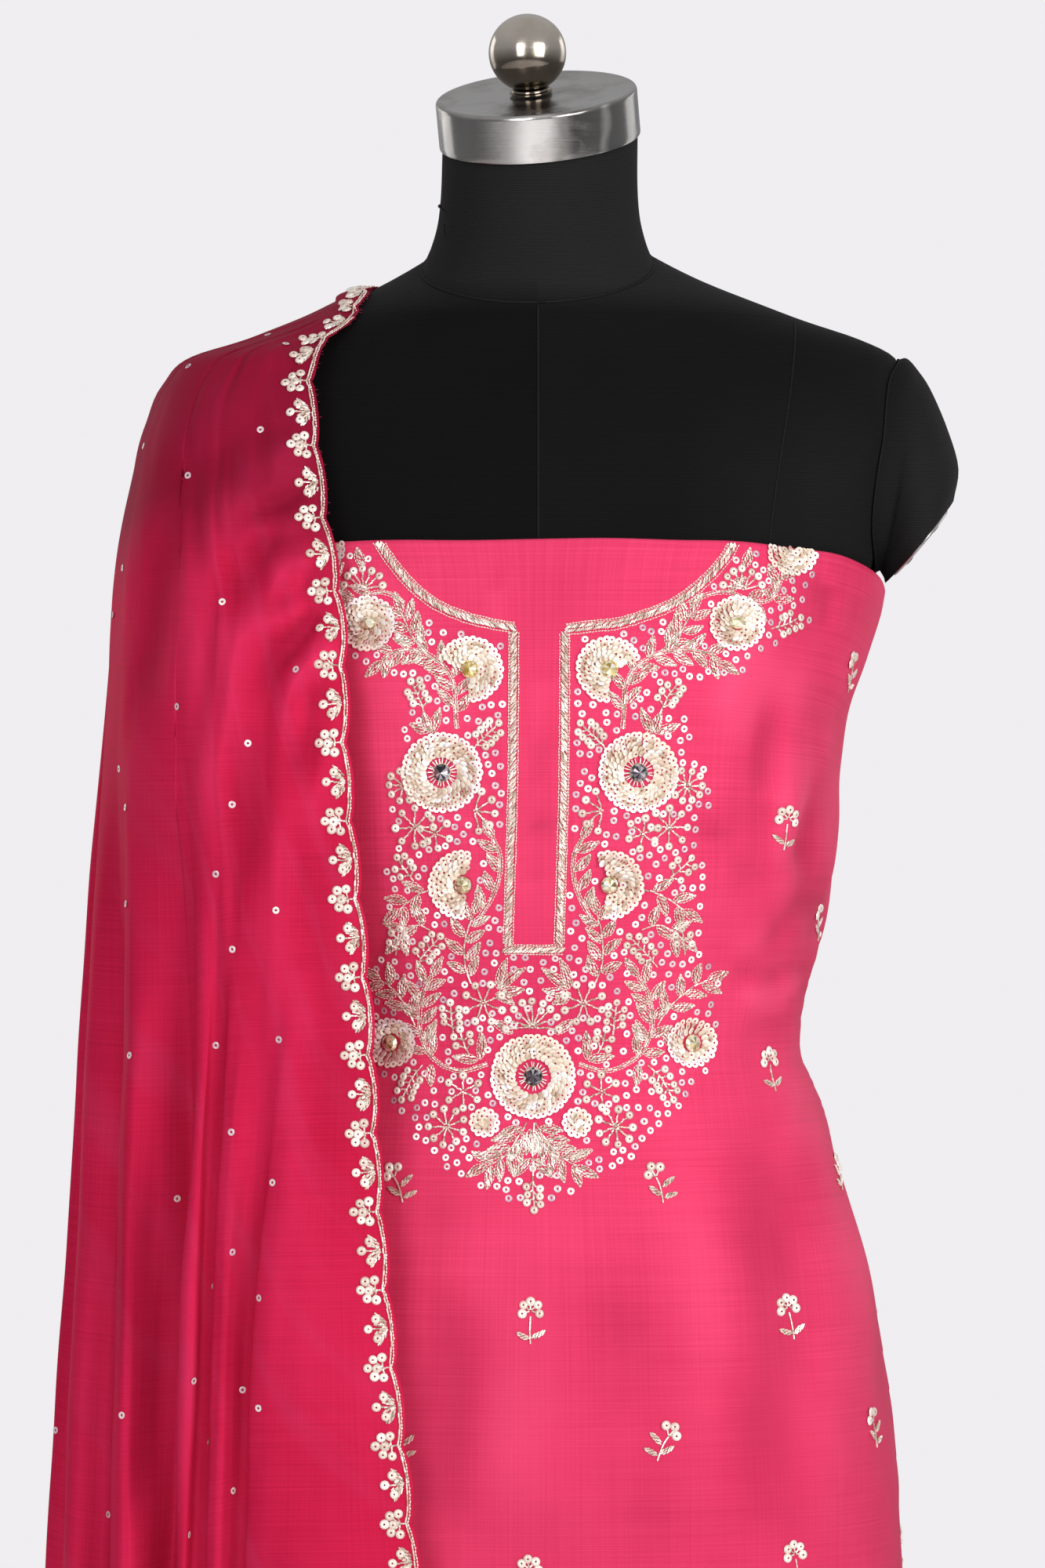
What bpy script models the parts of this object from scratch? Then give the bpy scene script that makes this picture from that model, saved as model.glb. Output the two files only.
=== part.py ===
"""Salwar kameez suit, uncut lengths of silk, displayed on a limbless dress form.

Metres, +Z up. The form's front faces -Y. The origin is the centre of the
stand base's underside, on the floor.

The form and every cloth are lofts of level sections. A section is a
superellipse with its own half width, front depth and back depth, read from
short tables below. Each cloth is a thin wall of constant thickness laid round
a middle surface that is worked out from those sections.
"""

import math
from collections import namedtuple

import bpy
import numpy as np

# ---------------------------------------------------------------- main sizes
GAP = 0.0004            # between touching pieces
SILK = 0.0013           # wall of the kameez cloth
THIN_SILK = 0.0010      # wall of the dupatta
DOUBLE_SILK = 0.0020    # wall of the salwar cloth, folded double
KAMEEZ_WIDTH = 1.12     # cut width, goes round the form
KAMEEZ_TOP = 1.2826     # folded top edge at the front
KAMEEZ_HEM = 0.270
KAMEEZ_TURN_IN = 0.135  # folded to the inside at the top
KAMEEZ_OFF = 0.0042     # form surface to the middle of the outer layer
TURN_IN_OFF = 0.0011    # form surface to the middle of the turned-in layer
UNDER_CLOTH = 0.0028    # the form is this much smaller where cloth wraps it
SIDE_EASE = 0.008       # the top edge falls away towards the sides
SIDE_DIP = 0.014        # the top edge dips under the arm caps
SALWAR_TOP = 1.026
SALWAR_HEM = 0.062
SALWAR_OFF = 0.0016
FORM_BOTTOM = 0.745
POLE_R = 0.0165
BASE_R = 0.185
BASE_T = 0.009
CAP_R = 0.0527
CAP_H = 0.0250
BALL_R = 0.0202
COLLAR_H = 0.0026
BALL_SHIFT = -0.0026     # the ball sits a little off the cap's centre
CAP_TOP = (-0.0010, -0.0120, 1.5190)   # centre of the neck cap's top face
CAP_AXIS = (-0.085, -0.325, 0.942)     # the neck leans forward and a little to the side
LEAN = 0.026            # the shoulders' slope to one side, rise per metre of x

Section = namedtuple("Section", "z half front back square rise")
# dress form, bottom to neck. rise tilts a section: metres up per metre back.
FORM = [
    Section(0.7455, 0.1700, 0.1020, 0.1120, 2.30, 0.0),
    Section(0.7600, 0.1805, 0.1100, 0.1210, 2.30, 0.0),
    Section(0.7850, 0.1835, 0.1130, 0.1240, 2.30, 0.0),
    Section(0.8240, 0.1812, 0.1135, 0.1250, 2.30, 0.0),
    Section(0.8580, 0.1765, 0.1125, 0.1230, 2.28, 0.0),
    Section(0.9060, 0.1677, 0.1105, 0.1170, 2.26, 0.0),
    Section(0.9400, 0.1568, 0.1070, 0.1090, 2.22, 0.0),
    Section(0.9715, 0.1468, 0.1025, 0.1010, 2.18, 0.0),
    Section(1.0000, 0.1342, 0.0985, 0.0920, 2.15, 0.0),
    Section(1.0216, 0.1256, 0.0950, 0.0850, 2.12, 0.0),
    Section(1.0420, 0.1285, 0.0955, 0.0840, 2.12, 0.0),
    Section(1.0620, 0.1344, 0.0985, 0.0855, 2.15, 0.0),
    Section(1.0850, 0.1418, 0.1030, 0.0890, 2.18, 0.0),
    Section(1.1120, 0.1490, 0.1085, 0.0930, 2.22, 0.0),
    Section(1.1400, 0.1525, 0.1155, 0.0970, 2.26, 0.0),
    Section(1.1690, 0.1540, 0.1225, 0.1010, 2.30, 0.0),
    Section(1.2040, 0.1605, 0.1270, 0.1050, 2.34, 0.0),
    Section(1.2240, 0.1660, 0.1255, 0.1060, 2.36, 0.0),
    Section(1.2440, 0.1715, 0.1205, 0.1070, 2.38, 0.0),
    Section(1.2640, 0.1745, 0.1150, 0.1070, 2.40, 0.0),
    Section(1.2900, 0.1765, 0.1060, 0.1050, 2.60, 0.0),
    Section(1.3160, 0.1795, 0.0960, 0.1010, 3.20, 0.0),
    Section(1.3350, 0.1832, 0.0875, 0.0950, 3.40, 0.0),
    Section(1.3500, 0.1853, 0.0800, 0.0870, 3.20, 0.0),
    Section(1.3650, 0.1868, 0.0705, 0.0770, 2.80, 0.0),
    Section(1.3765, 0.1868, 0.0625, 0.0675, 2.40, 0.0),
    Section(1.3870, 0.1680, 0.0585, 0.0625, 2.20, 0.03),
    Section(1.3975, 0.1395, 0.0565, 0.0600, 2.10, 0.10),
    Section(1.4070, 0.1152, 0.0550, 0.0580, 2.06, 0.18),
    Section(1.4165, 0.0900, 0.0535, 0.0560, 2.02, 0.28),
    Section(1.4245, 0.0703, 0.0520, 0.0545, 2.00, 0.39),
    Section(1.4290, 0.0605, 0.0505, 0.0530, 2.00, 0.44),
]

Add = namedtuple("Add", "z half front back")
# how far the kameez stands off the form beyond its own offset, per height
BRIDGE = [
    Add(0.785, 0.0000, 0.0000, 0.0000),
    Add(0.906, 0.0000, 0.0005, 0.0010),
    Add(0.972, 0.0004, 0.0025, 0.0045),
    Add(1.022, 0.0013, 0.0050, 0.0080),
    Add(1.085, 0.0005, 0.0085, 0.0065),
    Add(1.140, 0.0005, 0.0065, 0.0035),
    Add(1.190, 0.0000, 0.0010, 0.0010),
    Add(1.300, 0.0000, 0.0000, 0.0000),
]
# kameez below the form: it hangs free
FALL = [
    Section(0.262, 0.2010, 0.1400, 0.1500, 2.20, 0.0),
    Section(0.420, 0.1970, 0.1340, 0.1440, 2.22, 0.0),
    Section(0.600, 0.1920, 0.1240, 0.1350, 2.26, 0.0),
    Section(0.720, 0.1895, 0.1190, 0.1300, 2.30, 0.0),
    Section(0.785, 0.1877, 0.1172, 0.1282, 2.30, 0.0),
]
# salwar cloth below the form
SALWAR_FALL = [
    Section(0.050, 0.1860, 0.1270, 0.1370, 2.20, 0.0),
    Section(0.300, 0.1850, 0.1210, 0.1310, 2.22, 0.0),
    Section(0.600, 0.1850, 0.1165, 0.1275, 2.28, 0.0),
    Section(0.785, 0.1851, 0.1146, 0.1256, 2.30, 0.0),
]

Drape = namedtuple("Drape", "z reach front back square")
# dupatta: a level cut is a U, open towards the neck. reach is from the hanging
# edge to the outer side, front and back are its depths.
DUPATTA_EDGE_X = -0.0935
DUPATTA = [
    Drape(1.4130, 0.0125, 0.0285, 0.0345, 2.0),
    Drape(1.4050, 0.0320, 0.0430, 0.0470, 2.0),
    Drape(1.3960, 0.0570, 0.0560, 0.0610, 2.0),
    Drape(1.3850, 0.0895, 0.0700, 0.0750, 2.2),
    Drape(1.3720, 0.1025, 0.0800, 0.0850, 2.2),
    Drape(1.3500, 0.1110, 0.0940, 0.0980, 2.4),
    Drape(1.3100, 0.1200, 0.1090, 0.1130, 2.5),
    Drape(1.2600, 0.1272, 0.1240, 0.1230, 2.5),
    Drape(1.1900, 0.1325, 0.1390, 0.1320, 2.5),
    Drape(1.0900, 0.1400, 0.1390, 0.1400, 2.4),
    Drape(0.9700, 0.1465, 0.1380, 0.1500, 2.3),
    Drape(0.8200, 0.1565, 0.1390, 0.1620, 2.2),
    Drape(0.6400, 0.1650, 0.1450, 0.1720, 2.2),
    Drape(0.4500, 0.1730, 0.1500, 0.1800, 2.2),
    Drape(0.1000, 0.1860, 0.1600, 0.1920, 2.2),
]
Edge = namedtuple("Edge", "z x")
# where the dupatta's long front edge hangs
FRONT_EDGE = [
    Edge(1.4130, -0.0935), Edge(1.3900, -0.1110), Edge(1.3650, -0.1145),
    Edge(1.3300, -0.1110), Edge(1.3000, -0.1075), Edge(1.2500, -0.0990),
    Edge(1.1700, -0.0950), Edge(1.0500, -0.0845), Edge(0.9300, -0.0770),
    Edge(0.7490, -0.0590), Edge(0.2000, -0.0250),
]
Fold = namedtuple("Fold", "at drift crest lap dip top full")
# dupatta folds, from the front edge (at 0) round the side to the back edge
# (at 1), placed at height 0.75. drift moves a fold along the U per metre up.
# crest is the rounded fold's half width, lap how far it laps over the hollow
# beside it, dip that hollow's depth. It begins at height top and is whole at
# height full.
FOLDS = [
    Fold(0.150, -0.21, 0.0070, 0.0040, 0.0110, 1.10, 0.84),
    Fold(0.201, -0.18, 0.0040, 0.0005, 0.0075, 1.15, 0.90),
    Fold(0.236, -0.18, 0.0035, 0.0010, 0.0250, 1.18, 0.94),
    Fold(0.310, -0.07, 0.0080, 0.0000, 0.0140, 1.22, 0.98),
    Fold(0.402, -0.02, 0.0090, 0.0025, 0.0350, 1.26, 1.02),
    Fold(0.486, 0.00, 0.0085, 0.0025, 0.0400, 1.30, 1.08),
    Fold(0.564, 0.00, 0.0085, 0.0025, 0.0430, 1.30, 1.08),
    Fold(0.644, 0.00, 0.0085, 0.0020, 0.0450, 1.30, 1.08),
    Fold(0.726, 0.00, 0.0085, 0.0025, 0.0460, 1.29, 1.06),
    Fold(0.808, 0.00, 0.0085, 0.0030, 0.0420, 1.27, 1.04),
    Fold(0.890, 0.00, 0.0080, 0.0020, 0.0260, 1.22, 0.98),
]
Hem = namedtuple("Hem", "at z")
# the dupatta's lower edge along the cloth: front end, corner, side, corner, back end
HEM = [
    Hem(0.00, 0.225), Hem(0.18, 0.200), Hem(0.34, 0.125), Hem(0.44, 0.170),
    Hem(0.54, 0.250), Hem(0.64, 0.170), Hem(0.72, 0.125), Hem(0.86, 0.190),
    Hem(1.00, 0.225),
]

HEM_ROWS = [Edge(h.at, h.z) for h in HEM]      # read by column(): at as z, z as x

Skirt = namedtuple("Skirt", "at width depth start")
# soft vertical folds of the kameez below the hips (at: 0 front, 1 centre back)
KAMEEZ_FOLDS = [
    Skirt(-0.76, 0.06, 0.009, 0.78), Skirt(-0.58, 0.07, -0.005, 0.74),
    Skirt(-0.36, 0.06, 0.008, 0.76), Skirt(-0.16, 0.08, -0.005, 0.70),
    Skirt(0.10, 0.09, 0.006, 0.72), Skirt(0.34, 0.07, 0.010, 0.78),
    Skirt(0.54, 0.07, -0.005, 0.74), Skirt(0.73, 0.06, 0.009, 0.78),
]


# ------------------------------------------------------------------ sections
def smooth(a, b, x):
    """0 before a, 1 after b, smooth between."""
    t = np.clip((np.asarray(x, float) - a) / (b - a), 0.0, 1.0)
    return t * t * (3.0 - 2.0 * t)


def column(table, name, z):
    """A table's column at height z, on smooth cubic pieces."""
    rows = sorted(table, key=lambda r: r[0])
    zs = np.array([r[0] for r in rows], float)
    ys = np.array([getattr(r, name) for r in rows], float)
    z = np.clip(np.asarray(z, float), zs[0], zs[-1])
    d = np.gradient(ys, zs)
    k = np.clip(np.searchsorted(zs, z) - 1, 0, len(zs) - 2)
    h = zs[k + 1] - zs[k]
    t = (z - zs[k]) / h
    return (
        (1 + 2 * t) * (1 - t) ** 2 * ys[k] + t * (1 - t) ** 2 * h * d[k]
        + t * t * (3 - 2 * t) * ys[k + 1] - t * t * (1 - t) * h * d[k + 1]
    )


def oval(phi, half, front, back, square):
    """Plan point at phi: 0 is the front, 0.5 is +X, 1 the back, -0.5 is -X."""
    a = np.pi * np.asarray(phi, float)
    s, c = np.sin(a), np.cos(a)
    p = 2.0 / square
    x = half * np.sign(s) * np.abs(s) ** p
    y = -np.where(c >= 0, front, back) * np.sign(c) * np.abs(c) ** p
    return x, y


def lean(p):
    """Tips the shoulders a little to one side."""
    q = np.array(p, float)
    q[..., 2] += LEAN * q[..., 0] * smooth(1.27, 1.39, q[..., 2])
    return q


def form_point(phi, z):
    x, y = oval(phi, *(column(FORM, c, z) for c in ("half", "front", "back", "square")))
    return x, y


# -------------------------------------------------------------------- meshes
def volume(verts, faces):
    """Signed volume, positive when the faces point out."""
    v = np.array(verts, float)
    total = 0.0
    for f in faces:
        for i in range(1, len(f) - 1):
            total += float(np.dot(v[f[0]], np.cross(v[f[i]], v[f[i + 1]])))
    return total / 6


def add(name, verts, faces, rgb, metal=0.0, rough=0.7, smooth_shade=True):
    if volume(verts, faces) < 0:
        faces = [f[::-1] for f in faces]
    mesh = bpy.data.meshes.new(name)
    mesh.from_pydata([tuple(map(float, v)) for v in verts], [], faces)
    mesh.validate()
    obj = bpy.data.objects.new(name, mesh)
    bpy.context.scene.collection.objects.link(obj)
    if smooth_shade:
        mesh.shade_smooth()
        mesh.set_sharp_from_angle(angle=math.radians(40))
    mat = bpy.data.materials.get("mat_" + name) or bpy.data.materials.new("mat_" + name)
    mat.use_nodes = True
    bsdf = mat.node_tree.nodes["Principled BSDF"]
    bsdf.inputs["Base Color"].default_value = (*rgb, 1.0)
    bsdf.inputs["Metallic"].default_value = metal
    bsdf.inputs["Roughness"].default_value = rough
    mesh.materials.append(mat)
    return obj


def rings_solid(name, rings, rgb, **look):
    """A closed solid through rings of equal length, with a fan at each end.
    Rings run anticlockwise seen from the far (last) end."""
    n = len(rings[0])
    verts = [p for r in rings for p in r]
    faces = []
    for i in range(len(rings) - 1):
        for j in range(n):
            k = (j + 1) % n
            faces.append((i * n + j, i * n + k, (i + 1) * n + k, (i + 1) * n + j))
    first, last = len(verts), len(verts) + 1
    verts.append(np.mean(rings[0], axis=0))
    verts.append(np.mean(rings[-1], axis=0))
    base = (len(rings) - 1) * n
    for j in range(n):
        k = (j + 1) % n
        faces.append((first, k, j))
        faces.append((last, base + j, base + k))
    return add(name, verts, faces, rgb, **look)


def normals(grid):
    """Unit normals of a grid of points, from its own rows and columns."""
    du = np.gradient(grid, axis=1)
    dv = np.gradient(grid, axis=0)
    n = np.cross(du, dv)
    return n / np.maximum(np.linalg.norm(n, axis=2, keepdims=True), 1e-12)


def wall(name, grid, thickness, rgb, **look):
    """A closed thin wall round a grid of middle points (rows up, columns along).
    Its outside is on the side that du x dv points to."""
    n = normals(grid)
    rows, cols = grid.shape[:2]
    a = (grid + n * thickness / 2).reshape(-1, 3)
    b = (grid - n * thickness / 2).reshape(-1, 3)
    m = rows * cols
    verts = np.vstack([a, b])
    faces = []
    for i in range(rows - 1):
        for j in range(cols - 1):
            p, q = i * cols + j, i * cols + j + 1
            r, s = (i + 1) * cols + j + 1, (i + 1) * cols + j
            faces.append((p, q, r, s))
            faces.append((m + p, m + s, m + r, m + q))
    for i in range(rows - 1):
        p, s = i * cols, (i + 1) * cols
        faces.append((p, s, m + s, m + p))
        p, s = i * cols + cols - 1, (i + 1) * cols + cols - 1
        faces.append((s, p, m + p, m + s))
    for j in range(cols - 1):
        faces.append((j + 1, j, m + j, m + j + 1))
        p = (rows - 1) * cols + j
        faces.append((p, p + 1, m + p + 1, m + p))
    return add(name, verts, faces, rgb, **look)


# ---------------------------------------------------------------- dress form
def frame_of(axis):
    n = np.array(axis, float)
    n /= np.linalg.norm(n)
    x = np.array([1.0, 0.0, 0.0]) - n * n[0]
    x /= np.linalg.norm(x)
    return x, np.cross(n, x), n


def circle(centre, axis, r, count, r2=None):
    x, y, n = frame_of(axis)
    a = np.arange(count) * 2 * math.pi / count
    return np.array(centre) + np.outer(np.cos(a), x) * r + np.outer(np.sin(a), y) * (r2 or r)


def build_form():
    black = (0.012, 0.012, 0.013)
    steel = (0.62, 0.61, 0.60)
    count = 36
    phi = (np.arange(count) / count) * 2.0
    rings = []
    for s in FORM:
        x, y = oval(phi, s.half, s.front, s.back, s.square)
        under = 1 - UNDER_CLOTH * (1 - float(smooth(1.262, 1.275, s.z))) / s.front
        rings.append(lean(np.stack([x * under, y * under, s.z + s.rise * y], axis=1)))
    rings_solid("form_torso", rings, black, rough=0.9)

    cap_axis = np.array(CAP_AXIS) / np.linalg.norm(CAP_AXIS)
    cap_top = np.array(CAP_TOP)
    cap_low = cap_top - cap_axis * CAP_H
    # neck, from the torso's last section to the cap
    last = FORM[-1]
    neck = []
    steps = [(0.0, 1.0), (0.16, 0.93), (0.36, 0.875), (0.62, 0.850), (1.0, 0.845)]
    x0, y0 = oval(phi, last.half, last.front, last.back, 2.0)
    low = lean(np.stack([x0 + 0.0, y0, last.z + last.rise * y0], axis=1))
    low[:, 2] += GAP
    axis = frame_of(cap_axis)
    for t, size in steps:
        top = (
            cap_low - cap_axis * GAP
            + np.outer(x0 / last.half, axis[0]) * 0.0512
            + np.outer(y0 / 0.0517, axis[1]) * 0.0512
        )
        mix = low * (1 - t) + top * t
        centre = mix.mean(axis=0)
        want = 1.0 if t in (0.0, 1.0) else size / (1 - t + 0.845 * t)
        neck.append(centre + (mix - centre) * want)
    rings_solid("form_neck", neck, black, rough=0.9)

    prof = [(0.0, CAP_R), (CAP_H - 0.0022, CAP_R), (CAP_H - 0.0012, CAP_R - 0.0003),
            (CAP_H - 0.0004, CAP_R - 0.0010), (CAP_H, CAP_R - 0.0022)]
    rings_solid("neck_cap", [circle(cap_low + cap_axis * h, cap_axis, r, 36) for h, r in prof],
                steel, metal=1.0, rough=0.3)
    foot = cap_top + cap_axis * GAP + axis[0] * BALL_SHIFT
    prof = [(0.0, 0.0112), (0.0012, 0.0112), (COLLAR_H, 0.0100)]
    rings_solid("cap_collar", [circle(foot + cap_axis * h, cap_axis, r, 20) for h, r in prof],
                steel, metal=1.0, rough=0.25)
    ball = foot + cap_axis * (COLLAR_H + GAP + BALL_R * 0.90)
    rings = []
    for k in range(13):
        a = math.radians(-64 + (150) * k / 12)
        rings.append(circle(ball + cap_axis * BALL_R * math.sin(a), cap_axis, BALL_R * math.cos(a), 24))
    rings_solid("cap_ball", rings, steel, metal=1.0, rough=0.08)

    # arm caps: fans of ovals from the armhole to the cut end
    Fan = namedtuple("Fan", "xo zo xi zi deep")
    fans = [
        Fan(0.1930, 1.3765, 0.1788, 1.2705, 0.0475),
        Fan(0.1993, 1.3695, 0.1794, 1.2700, 0.0490),
        Fan(0.2055, 1.3600, 0.1800, 1.2690, 0.0500),
        Fan(0.2140, 1.3410, 0.1806, 1.2680, 0.0505),
        Fan(0.2197, 1.3220, 0.1812, 1.2668, 0.0495),
        Fan(0.2172, 1.3060, 0.1818, 1.2642, 0.0475),
    ]
    for side, name, shift in ((1, "right", 0.0), (-1, "left", 0.0165)):
        n = 24
        a = np.arange(n) * 2 * math.pi / n
        rings = []
        for scale in (0.45, 0.80, 1.0):      # inner end, laid on the torso's side
            z = 1.3225 + 0.0535 * scale * np.cos(a)
            y = 0.0465 * scale * np.sin(a)
            half, fr, bk, sq = (column(FORM, c, z) for c in ("half", "front", "back", "square"))
            depth = np.where(y < 0, fr, bk)
            x = half * (1 - np.clip(np.abs(y) / depth, 0, 0.98) ** sq) ** (1 / sq)
            rings.append(np.stack([x + 0.0021, y, z], axis=1))
        for f in fans:
            mid = np.array([(f.xo + f.xi) / 2, 0.0, (f.zo + f.zi) / 2])
            arm = np.array([(f.xo - f.xi) / 2, 0.0, (f.zo - f.zi) / 2])
            p = mid + np.outer(np.cos(a), arm)
            p[:, 1] += f.deep * np.sin(a)
            rings.append(p)
        for r in rings:
            r[:, 0] -= shift * smooth(0.1860, 0.2110, r[:, 0])
        rings = [lean(r * np.array([side, 1, 1])) for r in rings]
        if side > 0:
            rings = [r[::-1] for r in rings]
        rings_solid("arm_cap_" + name, [r[::-1] for r in rings], black, rough=0.9)
        end = rings[-1]
        c = end.mean(axis=0)
        u = end[0] - end[n // 2]
        out = np.cross(np.array([0, 1.0, 0]), u)
        out /= np.linalg.norm(out)
        if out[2] > 0:
            out = -out
        plate = [c + (end - c) * s + out * h for h, s in ((GAP, 0.78), (0.0012, 0.78), (0.0016, 0.75))]
        rings_solid("arm_plate_" + name, [r[::-1] for r in plate], steel, metal=1.0, rough=0.35)


def build_stand():
    steel = (0.60, 0.60, 0.60)
    up = (0, 0, 1)
    hub_top = BASE_T + 0.004 + 0.034
    prof = [(0.0, BASE_R), (BASE_T - 0.002, BASE_R), (BASE_T, BASE_R - 0.002), (BASE_T + 0.004, 0.060)]
    rings_solid("stand_base", [circle((0, 0, h), up, r, 48) for h, r in prof], steel, metal=1.0, rough=0.35)
    low = BASE_T + 0.004 + GAP
    prof = [(low, 0.034), (low + 0.006, 0.034), (hub_top - 0.006, 0.024), (hub_top, 0.0195)]
    rings_solid("stand_hub", [circle((0, 0, h), up, r, 28) for h, r in prof], steel, metal=1.0, rough=0.35)
    prof = [(hub_top + GAP, POLE_R), (FORM_BOTTOM - GAP, POLE_R)]
    rings_solid("stand_pole", [circle((0, 0, h), up, r, 24) for h, r in prof], steel, metal=1.0, rough=0.3)


# -------------------------------------------------------------------- cloths
def kameez_section(z):
    """half, front, back, square of the kameez's outer layer at height z."""
    form = [column(FORM, c, z) for c in ("half", "front", "back", "square")]
    fall = [column(FALL, c, z) for c in ("half", "front", "back", "square")]
    w = smooth(0.765, 0.800, z)
    out = []
    for i, c in enumerate(("half", "front", "back", "square")):
        v = form[i]
        if c != "square":
            v = v + KAMEEZ_OFF + column(BRIDGE, c, z)
        out.append(v * w + fall[i] * (1 - w))
    return out


def half_round(section):
    """Half the way round a section."""
    x, y = oval(np.linspace(0, 1, 90), *section)
    return float(np.hypot(np.diff(x), np.diff(y)).sum())


def outward(phi, section):
    """Plan normal of a section at phi."""
    e = 0.002
    x0, y0 = oval(phi - e, *section)
    x1, y1 = oval(phi + e, *section)
    tx, ty = x1 - x0, y1 - y0
    n = np.hypot(tx, ty)
    return ty / n, -tx / n


def kameez_top(phi):
    wrapped = np.abs((np.asarray(phi) + 1) % 2 - 1)
    ease = smooth(0.12, 0.40, wrapped) * smooth(0.88, 0.60, wrapped)
    return KAMEEZ_TOP - SIDE_EASE * ease - SIDE_DIP * np.exp(-(((wrapped - 0.5) / 0.105) ** 2))


def build_kameez():
    columns = 46
    u = np.linspace(-1, 1, columns)
    levels = [KAMEEZ_HEM, 0.40, 0.56, 0.70, 0.785, 0.858, 0.906, 0.94, 0.9715, 1.0, 1.0216,
              1.042, 1.062, 1.085, 1.14, 1.169, 1.204, 1.24]
    grid = []

    def row(z, off, turned=0.0, drop=None):
        """drop: distance below the folded edge, for rows near the top."""
        zc = float(z - (drop or 0.0))
        sec = kameez_section(zc)
        reach = KAMEEZ_WIDTH / 2 / half_round(sec)        # how far round each end goes
        phi = u * reach
        zz = np.full(columns, zc) if drop is None else kameez_top(phi) - drop
        secs = np.array([kameez_section(v) for v in zz]).T
        x, y = oval(phi, *secs)
        nx, ny = outward(phi, secs)
        late = 0.045 if off < KAMEEZ_OFF else 0.0
        lap = smooth(2 - reach - 0.20 + late, 2 - reach - 0.06 + late, phi)
        layer = lap * (0.0050 + 0.0022 * smooth(1.05, 1.13, zc))
        wrapped = np.abs((phi + 1) % 2 - 1)
        layer = layer + (0.0014 + 0.0026 * smooth(0.70, 0.84, wrapped)) * (1 - smooth(1.03, 1.07, zc))
        fold = 0.0
        for f in KAMEEZ_FOLDS:
            fold = fold + f.depth * np.exp(-(((phi - f.at) / f.width) ** 2)) * smooth(f.start, 0.30, zz)
        fold = fold * (1 - smooth(0.80, 0.88, np.abs(phi)))
        d = off - KAMEEZ_OFF + layer + fold
        return np.stack([x + nx * d, y + ny * d, zz], axis=1)

    for z in levels:
        grid.append(row(z, KAMEEZ_OFF))
    bend = (KAMEEZ_OFF - TURN_IN_OFF) / 2
    grid.append(row(KAMEEZ_TOP, KAMEEZ_OFF, drop=0.014))
    grid.append(row(KAMEEZ_TOP, KAMEEZ_OFF, drop=bend))
    grid.append(row(KAMEEZ_TOP, (KAMEEZ_OFF + TURN_IN_OFF) / 2, drop=0.0))
    grid.append(row(KAMEEZ_TOP, TURN_IN_OFF, drop=bend))
    grid.append(row(KAMEEZ_TOP, TURN_IN_OFF, drop=0.045))
    grid.append(row(KAMEEZ_TOP, TURN_IN_OFF, drop=0.090))
    grid.append(row(KAMEEZ_TOP, TURN_IN_OFF, drop=KAMEEZ_TURN_IN))
    wall("kameez_length", np.array(grid), SILK, (0.76, 0.026, 0.11), rough=0.45)


def build_salwar():
    columns = 36
    u = np.linspace(-1, 1, columns)
    grid = []
    for z in (SALWAR_HEM, 0.20, 0.40, 0.62, 0.785, 0.858, 0.906, 0.94, 0.9715, 1.0, 1.011, SALWAR_TOP):
        form = [float(column(FORM, c, z)) for c in ("half", "front", "back", "square")]
        fall = [float(column(SALWAR_FALL, c, z)) for c in ("half", "front", "back", "square")]
        w = float(smooth(0.765, 0.800, z))
        sec = [(form[i] + (SALWAR_OFF if i < 3 else 0)) * w + fall[i] * (1 - w) for i in range(4)]
        phi = u * 1.04
        x, y = oval(phi, *sec)
        nx, ny = outward(phi, sec)
        lap = smooth(0.86, 0.945, phi) * 0.0027
        wave = 0.0
        if z < 0.80:
            wave = -0.006 * (1 - smooth(0.10, 0.60, z)) * (1 + np.cos(phi * math.pi * 9)) / 2
            wave = wave * (1 - smooth(0.80, 0.92, np.abs(phi)))
        d = lap + wave
        grid.append(np.stack([x + nx * d, y + ny * d, np.full(columns, z)], axis=1))
    wall("salwar_length", np.array(grid), DOUBLE_SILK - 0.0002, (0.72, 0.03, 0.11), rough=0.5)


def dupatta_base(f, z):
    """Plan point and outward normal at f of the way round the unfolded U."""
    reach, front, back, square = (column(DUPATTA, c, z) for c in ("reach", "front", "back", "square"))
    edge = column(FRONT_EDGE, "x", z)
    side = DUPATTA_EDGE_X - reach
    a = np.pi * (0.5 - np.linspace(0, 1, 181))[None, :]      # +90 deg front, -90 deg back
    sn, cs = np.sin(a), np.abs(np.cos(a))
    p = (2.0 / square)[:, None]
    cx = np.where(sn > 0, edge[:, None], DUPATTA_EDGE_X + 0.010)
    x = cx - (cx - side[:, None]) * cs ** p
    y = -np.where(sn >= 0, front[:, None], back[:, None]) * np.sign(sn) * np.abs(sn) ** p
    step = np.hypot(np.diff(x, axis=1), np.diff(y, axis=1))
    run = np.concatenate([np.zeros((len(z), 1)), np.cumsum(step, axis=1)], axis=1)
    total = run[:, -1]
    out = np.empty((len(z), 4))
    for i in range(len(z)):
        want = np.array([f[i] - 0.004, f[i], f[i] + 0.004]) * total[i]
        px, py = np.interp(want, run[i], x[i]), np.interp(want, run[i], y[i])
        tx, ty = px[2] - px[0], py[2] - py[0]
        m = max(math.hypot(tx, ty), 1e-9)
        out[i] = px[1], py[1], ty / m, -tx / m
    return out[:, 0], out[:, 1], -out[:, 2], -out[:, 3], total


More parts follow.
